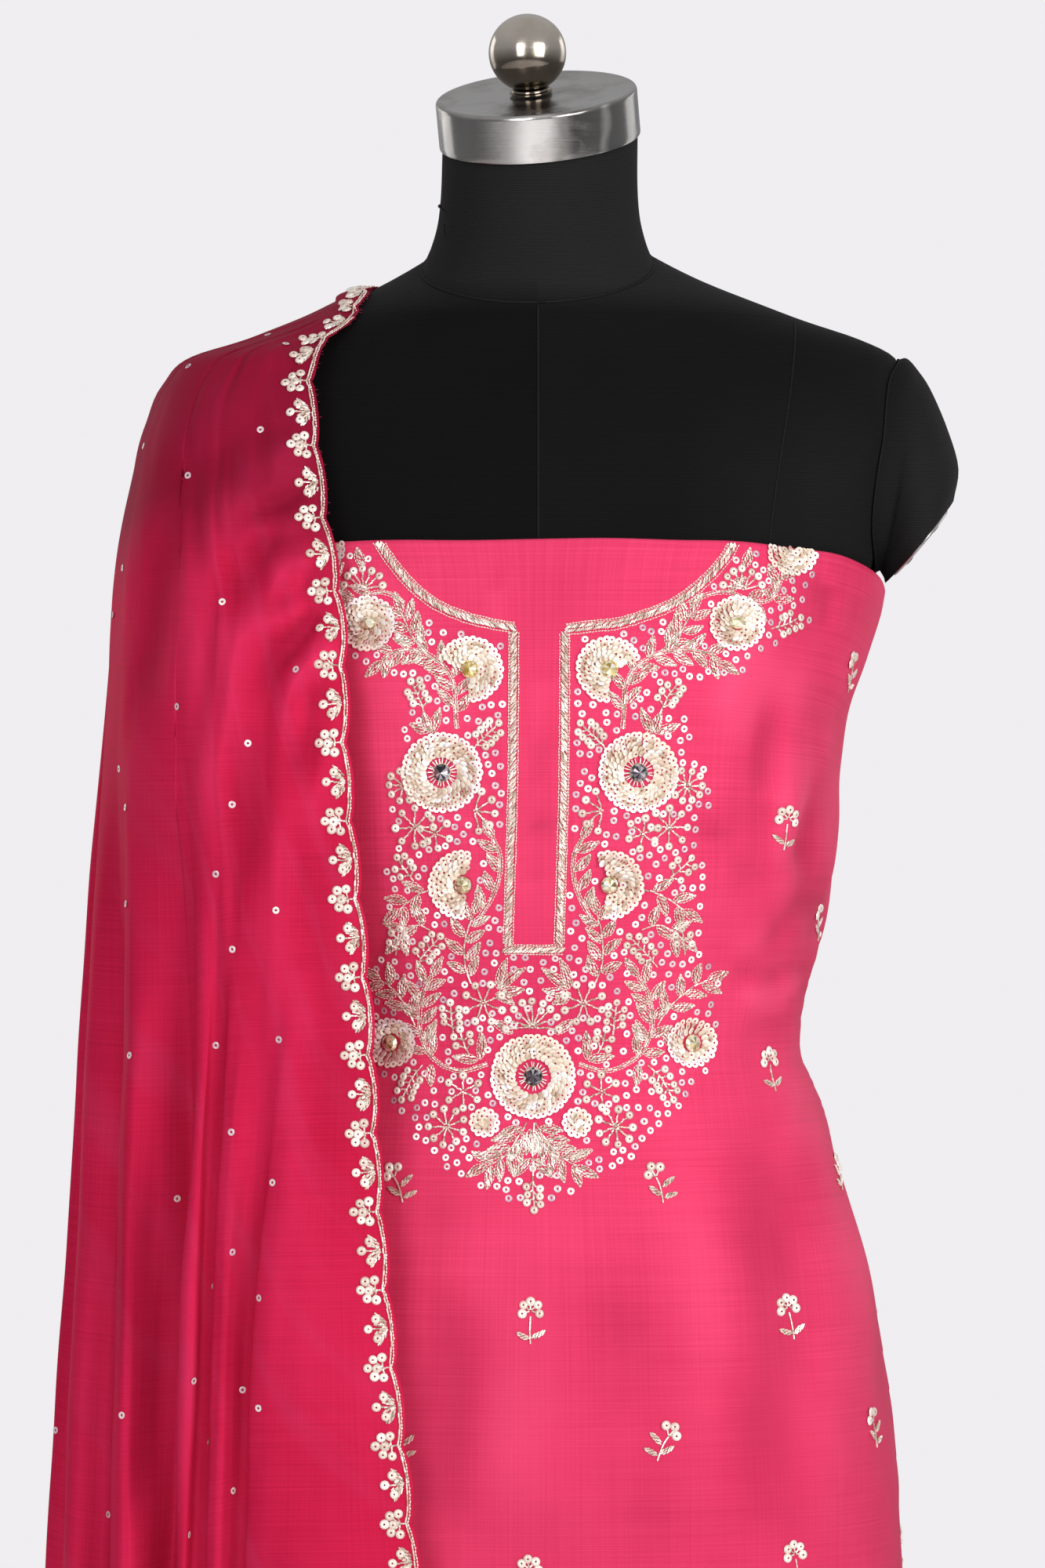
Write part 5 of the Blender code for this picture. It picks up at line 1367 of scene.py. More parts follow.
class Plan:
    """Embroidery drawn flat: millimetres, x to the right, y up."""

    def __init__(self):
        self.beads, self.stitches, self.rings = [], [], []
        self.petals, self.scales, self.domes, self.stones, self.taken = [], [], [], [], []

    def bead(self, a, b, width=0.95, height=0.5, tint=None):
        self.beads.append((*a, *b, width, height, rng.random() if tint is None else tint))

    def bead_line(self, path, length=2.2, gap=0.25, width=0.95, height=0.5):
        p = even(path, length + gap)
        for a, b in zip(p[:-1], p[1:]):
            d = b - a
            d = d / max(np.linalg.norm(d), 1e-9)
            self.bead(a + d * gap / 2, b - d * gap / 2, width, height)

    def chain(self, path, length=1.55, width=0.72, height=0.32):
        p = even(path, length)
        for a, b in zip(p[:-1], p[1:]):
            self.stitches.append((*a, *b, width * (0.92 + 0.16 * rng.random()), height, rng.random()))

    def ring(self, p, size=3.65, tilt=0.16):
        a = rng.random() * 2 * np.pi
        self.rings.append((*p, size * (0.97 + 0.06 * rng.random()), 0.30, math.cos(a), math.sin(a), tilt * rng.random(), rng.random()))

    def dome(self, p, size=4.6):
        a = rng.random() * 2 * np.pi
        self.domes.append((*p, size * (0.93 + 0.12 * rng.random()), 0.42, math.cos(a), math.sin(a), 0.22 * rng.random(), rng.random()))

    def take(self, p, r):
        self.taken.append((p[0], p[1], r))

    def take_path(self, path, r):
        for p in even(path, r):
            self.take(p, r)

    # --- motifs
    def leaf(self, base, tip, width=4.0, outline=True, lanes=3):
        base, tip = np.array(base, float), np.array(tip, float)
        d = tip - base
        length = np.linalg.norm(d)
        d = d / length
        n = np.array([-d[1], d[0]])
        bow = (rng.random() - 0.5) * 0.12 * length
        t = np.linspace(0, 1, 13)
        half = width / 2 * np.sin(np.pi * t ** 0.80) ** 0.85
        spine = base + np.outer(t, d) * length + np.outer(np.sin(np.pi * t) * bow, n)
        if outline:
            self.chain(spine + n * half[:, None], 1.6, 0.70, 0.40)
            self.chain(spine - n * half[:, None], 1.6, 0.70, 0.40)
        offsets = {2: (-0.26, 0.26), 3: (-0.44, 0.0, 0.44), 1: (0.0,)}[lanes]
        for o in offsets:
            lo, hi = (0.15, 0.84) if abs(o) > 0.3 else (0.06, 0.93)
            seg = lambda s: base + d * length * s + n * (np.sin(np.pi * s) * bow + o * width / 2 * np.sin(np.pi * s ** 0.80) ** 0.85 * 1.22)
            count = max(int(round((hi - lo) * length / 2.1)), 1)
            at = np.linspace(lo, hi, count + 1)
            for a, b in zip(at[:-1], at[1:]):
                pa, pb = seg(a), seg(b)
                skew = n * (rng.random() - 0.5) * 0.30 + n * 0.34
                e = (pb - pa) * 0.07
                self.bead(pa + e - skew * 0.6, pb - e + skew * 0.6, 0.98, 0.50 + 0.16 * rng.random())
        for s in (0.2, 0.5, 0.8):
            self.take(base + d * length * s, width * 0.42)

    def frond(self, path, pairs, length=10.0, start=0.15, spread=42, sides=(1, -1), thick=True, tip=True, grow=1.0, width=4.0):
        """A stem with leaves on both sides."""
        p = spline(path, 60)
        run = np.concatenate([[0], np.cumsum(np.linalg.norm(np.diff(p, axis=0), axis=1))])
        if thick:
            d = unit(np.gradient(p, axis=0))
            n = np.stack([-d[:, 1], d[:, 0]], 1)
            self.chain(p + n * 0.95, 1.6, 0.66, 0.34)
            self.chain(p - n * 0.95, 1.6, 0.66, 0.34)
        self.bead_line(p, 2.3, 0.2, 0.9, 0.5)
        self.take_path(p, 1.5)
        for k in range(pairs):
            for i, side in enumerate(sides):
                s = start + (0.97 - start) * (k + 0.30 * i) / max(pairs - 0.4, 1)
                if s > 1:
                    continue
                at = run[-1] * s
                c = np.array([np.interp(at, run, p[:, 0]), np.interp(at, run, p[:, 1])])
                e = np.array([np.interp(at + 0.8, run, p[:, 0]), np.interp(at + 0.8, run, p[:, 1])])
                f = np.array([np.interp(at - 0.8, run, p[:, 0]), np.interp(at - 0.8, run, p[:, 1])])
                d = (e - f) / max(np.linalg.norm(e - f), 1e-9)
                a = math.radians(spread + 9 * (rng.random() - 0.5)) * side
                q = np.array([d[0] * math.cos(a) - d[1] * math.sin(a), d[0] * math.sin(a) + d[1] * math.cos(a)])
                ll = length * (1 + (grow - 1) * s) * (0.93 + 0.14 * rng.random())
                self.leaf(c + q * 0.9, c + q * (0.9 + ll), width * (0.92 + 0.14 * rng.random()))
        if tip:
            d = unit((p[-1] - p[-4])[None])[0]
            self.leaf(p[-1], p[-1] + d * length * grow, width)

    def ray(self, base, direction, length, size=4.2):
        direction = np.array(direction, float)
        direction /= np.linalg.norm(direction)
        base = np.array(base, float)
        self.bead_line([base, base + direction * max(length - 0.8, 1.2)], 1.15, 0.14, 1.02, 0.56)
        self.dome(base + direction * (length + size * 0.28), size)
        self.take(base + direction * (length + size * 0.28), size * 0.5)
        self.take(base + direction * length * 0.5, 0.9)

    def star(self, c, r, rays, turn=0.0, arc=2 * np.pi, size=4.3):
        for k in range(rays):
            a = turn + arc * k / (rays if arc > 6 else max(rays - 1, 1)) + 0.10 * (rng.random() - 0.5)
            d = np.array([math.cos(a), math.sin(a)])
            self.ray(np.array(c) + d * 0.9, d, r - 0.7 - size * 0.28 - 0.6 + 0.7 * rng.random(), size)
        self.bead(np.array(c) - [0.6, 0], np.array(c) + [0.6, 0], 1.1, 0.75)
        self.take(c, 2.0)

    def sprig(self, path, domes, reach=3.4, size=4.15):
        """A bead stem with short side rays, each ending in a dome."""
        p = spline(path, 40)
        run = np.concatenate([[0], np.cumsum(np.linalg.norm(np.diff(p, axis=0), axis=1))])
        self.bead_line(p, 2.2, 0.2, 0.95, 0.5)
        self.take_path(p, 1.2)
        d = unit((p[-1] - p[-3])[None])[0]
        self.ray(p[-1], d, 1.0, size)
        pairs = (domes - 1) / 2
        for k in range(domes - 1):
            side = 1 if k % 2 else -1
            s = 0.22 + 0.70 * (k // 2 + 0.25 * (k % 2)) / max(pairs - 0.3, 1)
            at = run[-1] * s
            c = np.array([np.interp(at, run, p[:, 0]), np.interp(at, run, p[:, 1])])
            e = np.array([np.interp(at + 0.8, run, p[:, 0]), np.interp(at + 0.8, run, p[:, 1])])
            dd = (e - c) / max(np.linalg.norm(e - c), 1e-9) if at + 0.8 < run[-1] else d
            a = math.radians(58 + 10 * (rng.random() - 0.5)) * side
            q = np.array([dd[0] * math.cos(a) - dd[1] * math.sin(a), dd[0] * math.sin(a) + dd[1] * math.cos(a)])
            self.ray(c, q, reach * (0.9 + 0.25 * rng.random()), size)

    def flower(self, c, r, stone=None, start=0.0, sweep=360.0, beads=False, keep=None, inner=None, size=3.85):
        """Overlapping sequins in rings, the inner ones on top, round a stone."""
        c = np.array(c, float)
        rho = r - size * 0.50
        level = 0
        facing = rng.random() * 2 * np.pi
        low = (inner if inner is not None else (4.7 if stone else 0.8)) + (3.4 if beads else 0.0)
        while rho > low:
            n = max(int(round(2 * np.pi * rho / (3.15 if level == 0 else 2.9 if level == 1 and r > 11 else 2.6))), 4)
            for k in range(n):
                a = 2 * np.pi * (k + 0.5 * (level % 2)) / n + 0.05 * (rng.random() - 0.5)
                deg = (math.degrees(a) - start) % 360
                if deg > sweep:
                    continue
                p = c + (rho + 0.55 * (rng.random() - 0.5)) * np.array([math.cos(a), math.sin(a)])
                if keep is not None and not keep(p):
                    continue
                twist = a + 0.8 * (rng.random() - 0.5) + (0.1 if level == 0 else 0.85)
                lift = 0.50 + 0.30 * level + 0.42 * rng.random()
                # painted highlight: the outer ring is painted brighter towards one random side of each flower, and
                # inner sequins get painted white glints, more often on that side
                painted_glint = 0.5 + 0.5 * math.cos(a - facing)
                tint = 0.50 + 0.42 * painted_glint + 0.10 * rng.random() if level == 0 else 0.70 * rng.random() + 0.28 * (rng.random() < 0.12 + 0.14 * painted_glint)
                tilt = 0.16 + 0.26 * rng.random() if level == 0 else 0.36 + 0.30 * rng.random()
                (self.petals if level == 0 or rng.random() < (0.75 if level == 1 else 0.30) else self.scales).append((*p, size * (0.97 + 0.1 * rng.random()), lift, -math.cos(twist), -math.sin(twist), tilt, tint))
            rho -= 2.45 if level == 0 else 2.3
            level += 1
        if stone:
            kind, sr = stone
            if beads:
                for k in range(22):
                    a = 2 * np.pi * (k + 0.3 * rng.random()) / 22
                    d = np.array([math.cos(a), math.sin(a)])
                    self.bead(c + d * (sr * 0.9), c + d * (sr + 2.3 + 0.5 * rng.random()), 0.66, 1.0, 0.75 + 0.25 * rng.random())
            if keep is None or keep(c):
                self.stones.append((*c, sr, kind, 1.0 + 0.16 * level))
        if sweep > 300:
            self.take(c, r + 0.4)
        else:
            for f in np.linspace(0.06, 0.94, 9):
                a = math.radians(start + sweep * f)
                for q in (0.38, 0.70):
                    self.take(c + r * q * np.array([math.cos(a), math.sin(a)]), r * 0.34)
            self.take(c, 5.0)


def inside(poly, p):
    """Even-odd test of points p (n,2) in a polygon (m,2)."""
    poly, p = np.asarray(poly, float), np.asarray(p, float)
    a, b = poly, np.roll(poly, -1, axis=0)
    cross = (a[None, :, 1] > p[:, None, 1]) != (b[None, :, 1] > p[:, None, 1])
    dy = b[:, 1] - a[:, 1]
    x = a[None, :, 0] + (p[:, None, 1] - a[None, :, 1]) * ((b - a)[:, 0] / np.where(dy == 0, 1e-9, dy))[None, :]
    return (cross & (p[:, None, 0] < x)).sum(axis=1) % 2 == 1


def stone_template(n=12, table=0.20, height=0.40):
    """A pointed faceted stone as separate facets, 1 across."""
    tris = []
    for k in range(n):
        a0, a1 = 2 * np.pi * k / n, 2 * np.pi * (k + 1) / n
        am = (a0 + a1) / 2
        o0 = [0.5 * math.cos(a0), 0.5 * math.sin(a0), 0.06]
        o1 = [0.5 * math.cos(a1), 0.5 * math.sin(a1), 0.06]
        m = [0.36 * math.cos(am), 0.36 * math.sin(am), 0.06 + height * 0.36]
        top = [0.0, 0.0, height]
        i0 = [0.36 * math.cos(am - 2 * np.pi / n), 0.36 * math.sin(am - 2 * np.pi / n), 0.06 + height * 0.36]
        tris += [(o0, o1, m), (i0, o0, m), (i0, m, top)]
    return np.array(tris, float)


STONE = stone_template()
SETTING = lathe([(0.46, 0.02), (0.50, 0.07), (0.515, 0.05), (0.52, -0.08)], 20)


def lay(plan, place, name, mats, groups=("thread", "beads", "sequins")):
    """Lays a plan on a surface. place(xy) gives points and normals in metres."""
    mm = 0.001
    made = []

    def ends(rows):
        r = np.array(rows, float)
        a, na = place(r[:, 0:2])
        b, nb = place(r[:, 2:4])
        x = unit(b - a)
        n = unit(na + nb)
        y = unit(np.cross(n, x))
        n = np.cross(x, y)
        roll = (rng.random(len(r)) * 1.0 - 0.5)[:, None]
        y, n = y * np.cos(roll) + n * np.sin(roll), n * np.cos(roll) - y * np.sin(roll)
        length = np.hypot(r[:, 2] - r[:, 0], r[:, 3] - r[:, 1]) * mm
        width = r[:, 4] * mm
        return (a + b) / 2 + n * (r[:, 5] * mm)[:, None], x * length[:, None], y * width[:, None], n * width[:, None], r[:, 6]

    def discs(rows):
        r = np.array(rows, float)
        p, n = place(r[:, 0:2])
        q, _ = place(r[:, 0:2] + [0.6, 0.0])
        x = unit(q - p)
        y = unit(np.cross(n, x))
        x = np.cross(y, n)
        tilt = np.tan(r[:, 6])[:, None]
        m = unit(n + tilt * (x * r[:, 4:5] + y * r[:, 5:6]))
        x = unit(x - m * (x * m).sum(axis=1, keepdims=True))
        y = np.cross(m, x)
        s = r[:, 2:3] * mm
        return p + n * (r[:, 3] * mm)[:, None], x * s, y * s, m * s, r[:, 7]

    if plan.stitches:
        b = Batch()
        b.put(STITCH, *ends(plan.stitches))
        made.append(b.make(name + "_thread", mats["thread"]))
    if plan.beads:
        b = Batch()
        b.put(BEAD, *ends(plan.beads))
        made.append(b.make(name + "_beads", mats["bead"], sharp=50))
    if plan.rings:
        b = Batch()
        b.put(RING, *discs(plan.rings))
        made.append(b.make(name + "_sequins", mats["ring"]))
    if plan.petals:
        b = Batch()
        b.put(PETAL, *discs(plan.petals))
        made.append(b.make(name + "_flower_sequins", mats["petal"]))
    if plan.scales:
        b = Batch()
        b.put(SCALE, *discs(plan.scales))
        made.append(b.make(name + "_lapped_sequins", mats["petal"]))
    if plan.domes:
        b = Batch()
        b.put(DOME, *discs(plan.domes))
        made.append(b.make(name + "_cup_sequins", mats["dome"]))
    if plan.stones:
        for kind in sorted({s[3] for s in plan.stones}):
            b = Batch()
            rim = Batch()
            for sx, sy, sr, sk, lift in plan.stones:
                if sk != kind:
                    continue
                row = [(sx, sy, sr * 2, lift, 1.0, 0.0, 0.0, 0.5)]
                o, x, y, z, _ = discs(row)
                squash = 0.72 if kind == "pale" else 1.0
                # painted facet glints: each facet takes its own random tone along the stone's ramp
                for tri in STONE:
                    t = (tri, np.zeros((0, 4), int), np.array([[0, 1, 2]]))
                    b.put(t, o, x, y * squash, z * 0.9, np.array([rng.random()]))
                rim.put(SETTING, o - z * 0.04, x * 0.98, y * squash, z, np.array([rng.random()]))
            made.append(b.make(name + "_stones_" + kind, mats["stone_" + kind], smooth_shade=False))
            made.append(rim.make(name + "_settings_" + kind, mats["setting"]))
    return made


# --- the yoke, placed by photo pixels; the left half mirrors the right
MM = 0.3935          # millimetres a photo pixel on the chest
Axis = namedtuple("Axis", "py px")
YOKE_AXIS = [Axis(690, 688.5), Axis(800, 688.5), Axis(985, 688.0), Axis(1128, 684.0), Axis(1213, 680.5),
             Axis(1373, 680.0), Axis(1430, 677.0), Axis(1550, 681.0)]


def yoke(px, py, side=1):
    """Plan millimetres of a place on the right half (or its mirror)."""
    if side < 0:
        axis = float(np.interp(py, [a.py for a in YOKE_AXIS], [a.px for a in YOKE_AXIS]))
        a = px - axis
        px = axis - a * (1 - 0.13 * float(smooth(90, 250, a)))
    return np.array([(px - 683) * MM, (1290 - py) * MM])


Flower = namedtuple("Flower", "px py r stone start sweep beads")
FLOWERS = [
    Flower(777, 854, 43, "yellow", 20, 250, False),
    Flower(814, 985, 52, "dark", 0, 360, True),
    Flower(777, 1128, 45, "gold", -95, 205, False),
    Flower(940, 795, 36, "pale", 0, 360, False),
    Flower(882, 1330, 33, "gold", 0, 360, False),
    Flower(1011, 701, 34, None, 0, 360, False),
    Flower(736, 1432, 20, None, 0, 360, False),
]
Stem = namedtuple("Stem", "path pairs length start spread sides thick tip")
STEMS = [
    Stem([(794, 930), (796, 904), (797, 880), (804, 860), (820, 844), (845, 832), (875, 829), (903, 834), (918, 843)], 7, 28, 0.12, 44, (1, -1), True, True),
    Stem([(836, 836), (856, 820), (872, 800), (882, 782)], 3, 27, 0.25, 42, (1, -1), False, True),
    Stem([(878, 770), (904, 758), (930, 756), (956, 766), (980, 766), (992, 750), (997, 728)], 4, 26, 0.35, 44, (1, -1), True, True),
    Stem([(754, 1172), (738, 1142), (731, 1112), (733, 1088), (742, 1070)], 4, 28, 0.12, 46, (-1,), True, True),
    Stem([(757, 1260), (766, 1236), (769, 1210), (766, 1184), (761, 1166)], 4, 27, 0.14, 46, (1, -1), False, True),
    Stem([(738, 1357), (770, 1366), (800, 1357), (823, 1335), (832, 1300), (826, 1266), (814, 1246)], 5, 28, 0.42, 46, (1, -1), True, True),
    Stem([(838, 1308), (850, 1290), (866, 1272), (886, 1257), (902, 1250)], 3, 27, 0.22, 44, (1, -1), False, True),
    Stem([(822, 1134), (842, 1141), (860, 1152), (872, 1160)], 2, 27, 0.16, 48, (1, -1), False, True),
    Stem([(818, 1186), (838, 1180), (856, 1186), (868, 1196)], 2, 26, 0.20, 46, (1, -1), False, True),
    Stem([(682, 1432), (698, 1456), (716, 1476), (736, 1487)], 5, 29, 0.10, 50, (1, -1), False, True),
]
MotifLeaf = namedtuple("MotifLeaf", "x0 y0 x1 y1")
LEAVES = [
    MotifLeaf(831, 936, 817, 902), MotifLeaf(833, 934, 843, 908), MotifLeaf(835, 934, 868, 923),
    MotifLeaf(726, 1262, 714, 1221), MotifLeaf(724, 1262, 690, 1234), MotifLeaf(725, 1266, 691, 1262),
    MotifLeaf(728, 1266, 704, 1281), MotifLeaf(706, 1318, 735, 1300), MotifLeaf(813, 1358, 811, 1386),
    MotifLeaf(748, 1352, 747, 1314), MotifLeaf(750, 1352, 784, 1347), MotifLeaf(947, 725, 957, 698),
    MotifLeaf(846, 1316, 862, 1340), MotifLeaf(825, 1330, 806, 1306),
]
Sprig = namedtuple("Sprig", "path domes")
SPRIGS = [
    Sprig([(842, 910), (850, 892), (862, 874)], 8),
    Sprig([(774, 956), (760, 942), (744, 926)], 9),
    Sprig([(850, 1124), (864, 1112), (878, 1098)], 6),
    Sprig([(838, 1234), (824, 1216), (806, 1198)], 9),
    Sprig([(874, 1218), (872, 1204), (870, 1190)], 5),
    Sprig([(782, 1320), (784, 1302), (786, 1284)], 7),
    Sprig([(762, 1344), (768, 1332), (772, 1318)], 5),
    Sprig([(826, 1358), (842, 1374), (856, 1398)], 9),
    Sprig([(982, 802), (998, 798), (1016, 790)], 8),
]
Star = namedtuple("Star", "px py r rays turn arc")
STARS = [
    Star(876, 1002, 20, 10, 0, 360), Star(768, 1034, 26, 5, 110, 150), Star(820, 1063, 20, 6, 20, 360),
    Star(853, 1055, 24, 8, 0, 360), Star(744, 1279, 25, 8, 22, 360), Star(767, 1392, 21, 6, 30, 360),
    Star(785, 1437, 23, 9, 0, 360), Star(947, 752, 26, 7, 12, 156),
]
Outline = namedtuple("Outline", "px py")
YOKE_LIMIT = [Outline(*p) for p in (
    (680, 1218), (722, 1210), (735, 1000), (734, 815), (800, 806), (850, 790), (895, 758), (925, 735), (948, 700),
    (952, 688), (1046, 692), (1030, 765), (1034, 800), (1000, 818), (960, 838), (944, 866), (905, 856), (882, 870),
    (868, 902), (880, 938), (872, 962), (902, 982), (906, 1025), (888, 1050), (886, 1088), (902, 1110), (892, 1150),
    (898, 1180), (890, 1215), (922, 1240), (908, 1285), (918, 1322), (906, 1365), (882, 1388), (868, 1412),
    (850, 1424), (830, 1452), (800, 1480), (770, 1502), (735, 1518), (705, 1534), (680, 1556))]
BandPoint = namedtuple("BandPoint", "px py")
NECK_RIGHT = [BandPoint(*p) for p in ((722.0, 803), (756, 799), (790, 795), (840, 779), (868, 765), (892, 747), (915, 724), (929, 706), (938, 688))]
NECK_LEFT = [BandPoint(*p) for p in ((656.0, 801), (639, 798), (602, 790), (563, 775), (533, 754), (510, 730), (492, 706), (482, 688))]


def yoke_plan(top_edge):
    plan = Plan()

    def below(p, slack=0.8):
        """True where the cloth has not yet folded over the top edge."""
        return (1290 - p[1] / MM) > top_edge(p[0] / MM + 683) + slack

    # neckline band: chains at its edges, slanting beads between
    def band(path, width, up=1):
        p = spline([yoke(*q) for q in path], 120)
        p = even(p, 1.2)
        d = unit(np.gradient(p, axis=0))
        n = np.stack([-d[:, 1], d[:, 0]], 1)
        w = width / 2
        for o in (w, -w):
            plan.chain(p + n * o, 1.55, 0.75, 0.34)
        plan.chain(p + n * (w - 0.75) * up, 1.55, 0.55, 0.34)
        q = even(p, 1.02)
        d = unit(np.gradient(q, axis=0))
        n = np.stack([-d[:, 1], d[:, 0]], 1)
        for i in range(len(q)):
            for lane in (-1, 1):
                c = q[i] + n[i] * (lane * w * 0.30 - 0.10 * up)
                a = math.radians(38 + 8 * (rng.random() - 0.5))
                v = d[i] * math.cos(a) * 1.15 + n[i] * math.sin(a) * 1.15 * up
                plan.bead(c - v, c + v, 0.80, 0.62 + 0.14 * (lane > 0))
        plan.take_path(p, width * 0.5)

    band([(720.5, 808), (720, 900), (719, 1000), (716, 1110), (713, 1204)], 4.9)
    band([(655.5, 806), (655, 900), (654, 1000), (651, 1110), (648, 1204)], 4.9, up=-1)
    band([(643, 1211), (660, 1211), (690, 1211.5), (718, 1211)], 4.7)
    band(NECK_RIGHT, 5.6)
    band(NECK_LEFT, 5.2, up=-1)

    stones = {"yellow": 4.3, "dark": 4.6, "gold": 4.3, "pale": 4.4}
    for side in (1, -1):
        for f in FLOWERS:
            c = yoke(f.px, f.py, side)
            start = f.start if side > 0 else 180 - f.start - f.sweep
            stone = (f.stone, stones[f.stone]) if f.stone else None
            plan.flower(c, f.r * MM, stone, start % 360, f.sweep, f.beads, keep=lambda p: below(p, -4.5))
        for s in STEMS:
            path = [yoke(*p, side) for p in s.path]
            plan.frond(path, s.pairs, s.length * 1.08 * MM, s.start, s.spread, tuple(k * side for k in s.sides), s.thick, s.tip, width=4.8)
        for l in LEAVES:
            plan.leaf(yoke(l.x0, l.y0, side), yoke(l.x1, l.y1, side), 4.9)
        for s in SPRIGS:
            plan.sprig([yoke(*p, side) for p in s.path], s.domes)
        for s in STARS:
            turn = math.radians(s.turn if side > 0 else 180 - s.turn - (s.arc if s.arc < 360 else 0))
            plan.star(yoke(s.px, s.py, side), s.r * MM, s.rays, turn, math.radians(s.arc))
    plan.flower(yoke(680, 1373), 55 * MM, ("dark", 4.8), 0, 360, True)
    # a fan of rays over the centre flower, a sprig and two leaves under the spray
    plan.star(yoke(679, 1310), 33 * MM, 9, math.radians(-4), math.radians(188))
    plan.bead_line([yoke(681, 1432), yoke(680, 1470), yoke(680, 1500)], 2.2, 0.2, 0.95)
    for k in (-1, 1):
        plan.leaf(yoke(680 + 3 * k, 1440), yoke(680 + 9 * k, 1474), 4.6)
        plan.leaf(yoke(680 + 2 * k, 1478), yoke(680 + 25 * k, 1502), 4.8)
        plan.leaf(yoke(680 + 12 * k, 1452), yoke(680 + 34 * k, 1484), 4.8)
    plan.sprig([yoke(680, 1500), yoke(680, 1518), yoke(681, 1538)], 7, 2.6)

    # loose flat sequins fill what is left
    outline = [yoke(o.px, o.py) for o in YOKE_LIMIT] + [yoke(o.px, o.py, -1) for o in YOKE_LIMIT[::-1]]
    lo, hi = np.min(outline, axis=0), np.max(outline, axis=0)
    cand = lo + rng.random((30000, 2)) * (hi - lo)
    cand = cand[inside(outline, cand)]
    slit = (np.abs(cand[:, 0] + 0.4) < 13.8) & (cand[:, 1] > 31)
    cand = cand[~slit]
    # nothing inside the round neck
    neck = np.array([yoke(*p) for p in NECK_LEFT[::-1]] + [yoke(*p) for p in NECK_RIGHT] + [yoke(938, 640), yoke(482, 640)])
    cand = cand[~inside(neck, cand)]
    taken = np.array(plan.taken)
    d = np.linalg.norm(cand[:, None, :] - taken[None, :, 0:2], axis=2) - taken[None, :, 2]
    cand = cand[(d > 1.60).all(axis=1)]
    kept = np.zeros((0, 2))
    for p in cand:
        if len(kept) and (np.linalg.norm(kept - p, axis=1) < 4.55).any():
            continue
        if not below(p, 4.0):
            continue
        kept = np.vstack([kept, p])
        plan.ring(p)

    def cut(rows):
        return [r for r in rows if below(r[0:2], 1.2)]
    plan.beads, plan.stitches, plan.domes, plan.rings = cut(plan.beads), cut(plan.stitches), cut(plan.domes), cut(plan.rings)
    return plan


def buti(plan, bent, flip):
    """One scattered flower sprig, about 17 by 23 mm."""
    f = -1 if flip else 1
    def at(x, y):
        return np.array([x * f, y])
    if bent:
        plan.bead_line(spline([at(1.0, -11), at(0.2, -6.5), at(-1.0, -2.0), at(-3.0, 2.0)], 20), 2.2, 0.2, 1.0)
        for x, y, size in ((-7.0, 2.8, 4.9), (-5.6, 7.2, 5.0), (-1.0, 7.3, 4.9)):
            plan.dome(at(x, y), size)
        plan.bead_line([at(-3.2, 2.4), at(-5.2, 5.2)], 2.2, 0.2)
        plan.bead_line([at(-3.0, 2.4), at(-5.4, 2.6)], 2.0, 0.2)
        plan.bead_line([at(-2.8, 2.6), at(-1.8, 5.4)], 2.2, 0.2)
        plan.leaf(at(0.6, -7.5), at(-7.0, -2.0), 3.9, False, 3)
        plan.leaf(at(1.0, -8.5), at(9.2, -5.2), 3.6, False, 3)
        plan.leaf(at(0.0, -3.2), at(7.4, 3.2), 3.8, False, 3)
    else:
        plan.bead_line([at(0, -11.5), at(0.3, -5), at(0, 2.5)], 2.2, 0.2, 1.0)
        c = at(0, 5.2)
        for k, a in enumerate((-18, 38, 90, 142, 198)):
            d = np.array([math.cos(math.radians(a)), math.sin(math.radians(a))])
            plan.bead(c + d * 0.6, c + d * 2.9, 0.95, 0.55)
            plan.dome(c + d * 4.7, 4.9)
        plan.leaf(at(0, -8.5), at(-8.0, -4.4), 3.8, False, 3)
        plan.leaf(at(0, -9.0), at(8.2, -5.0), 3.8, False, 3)


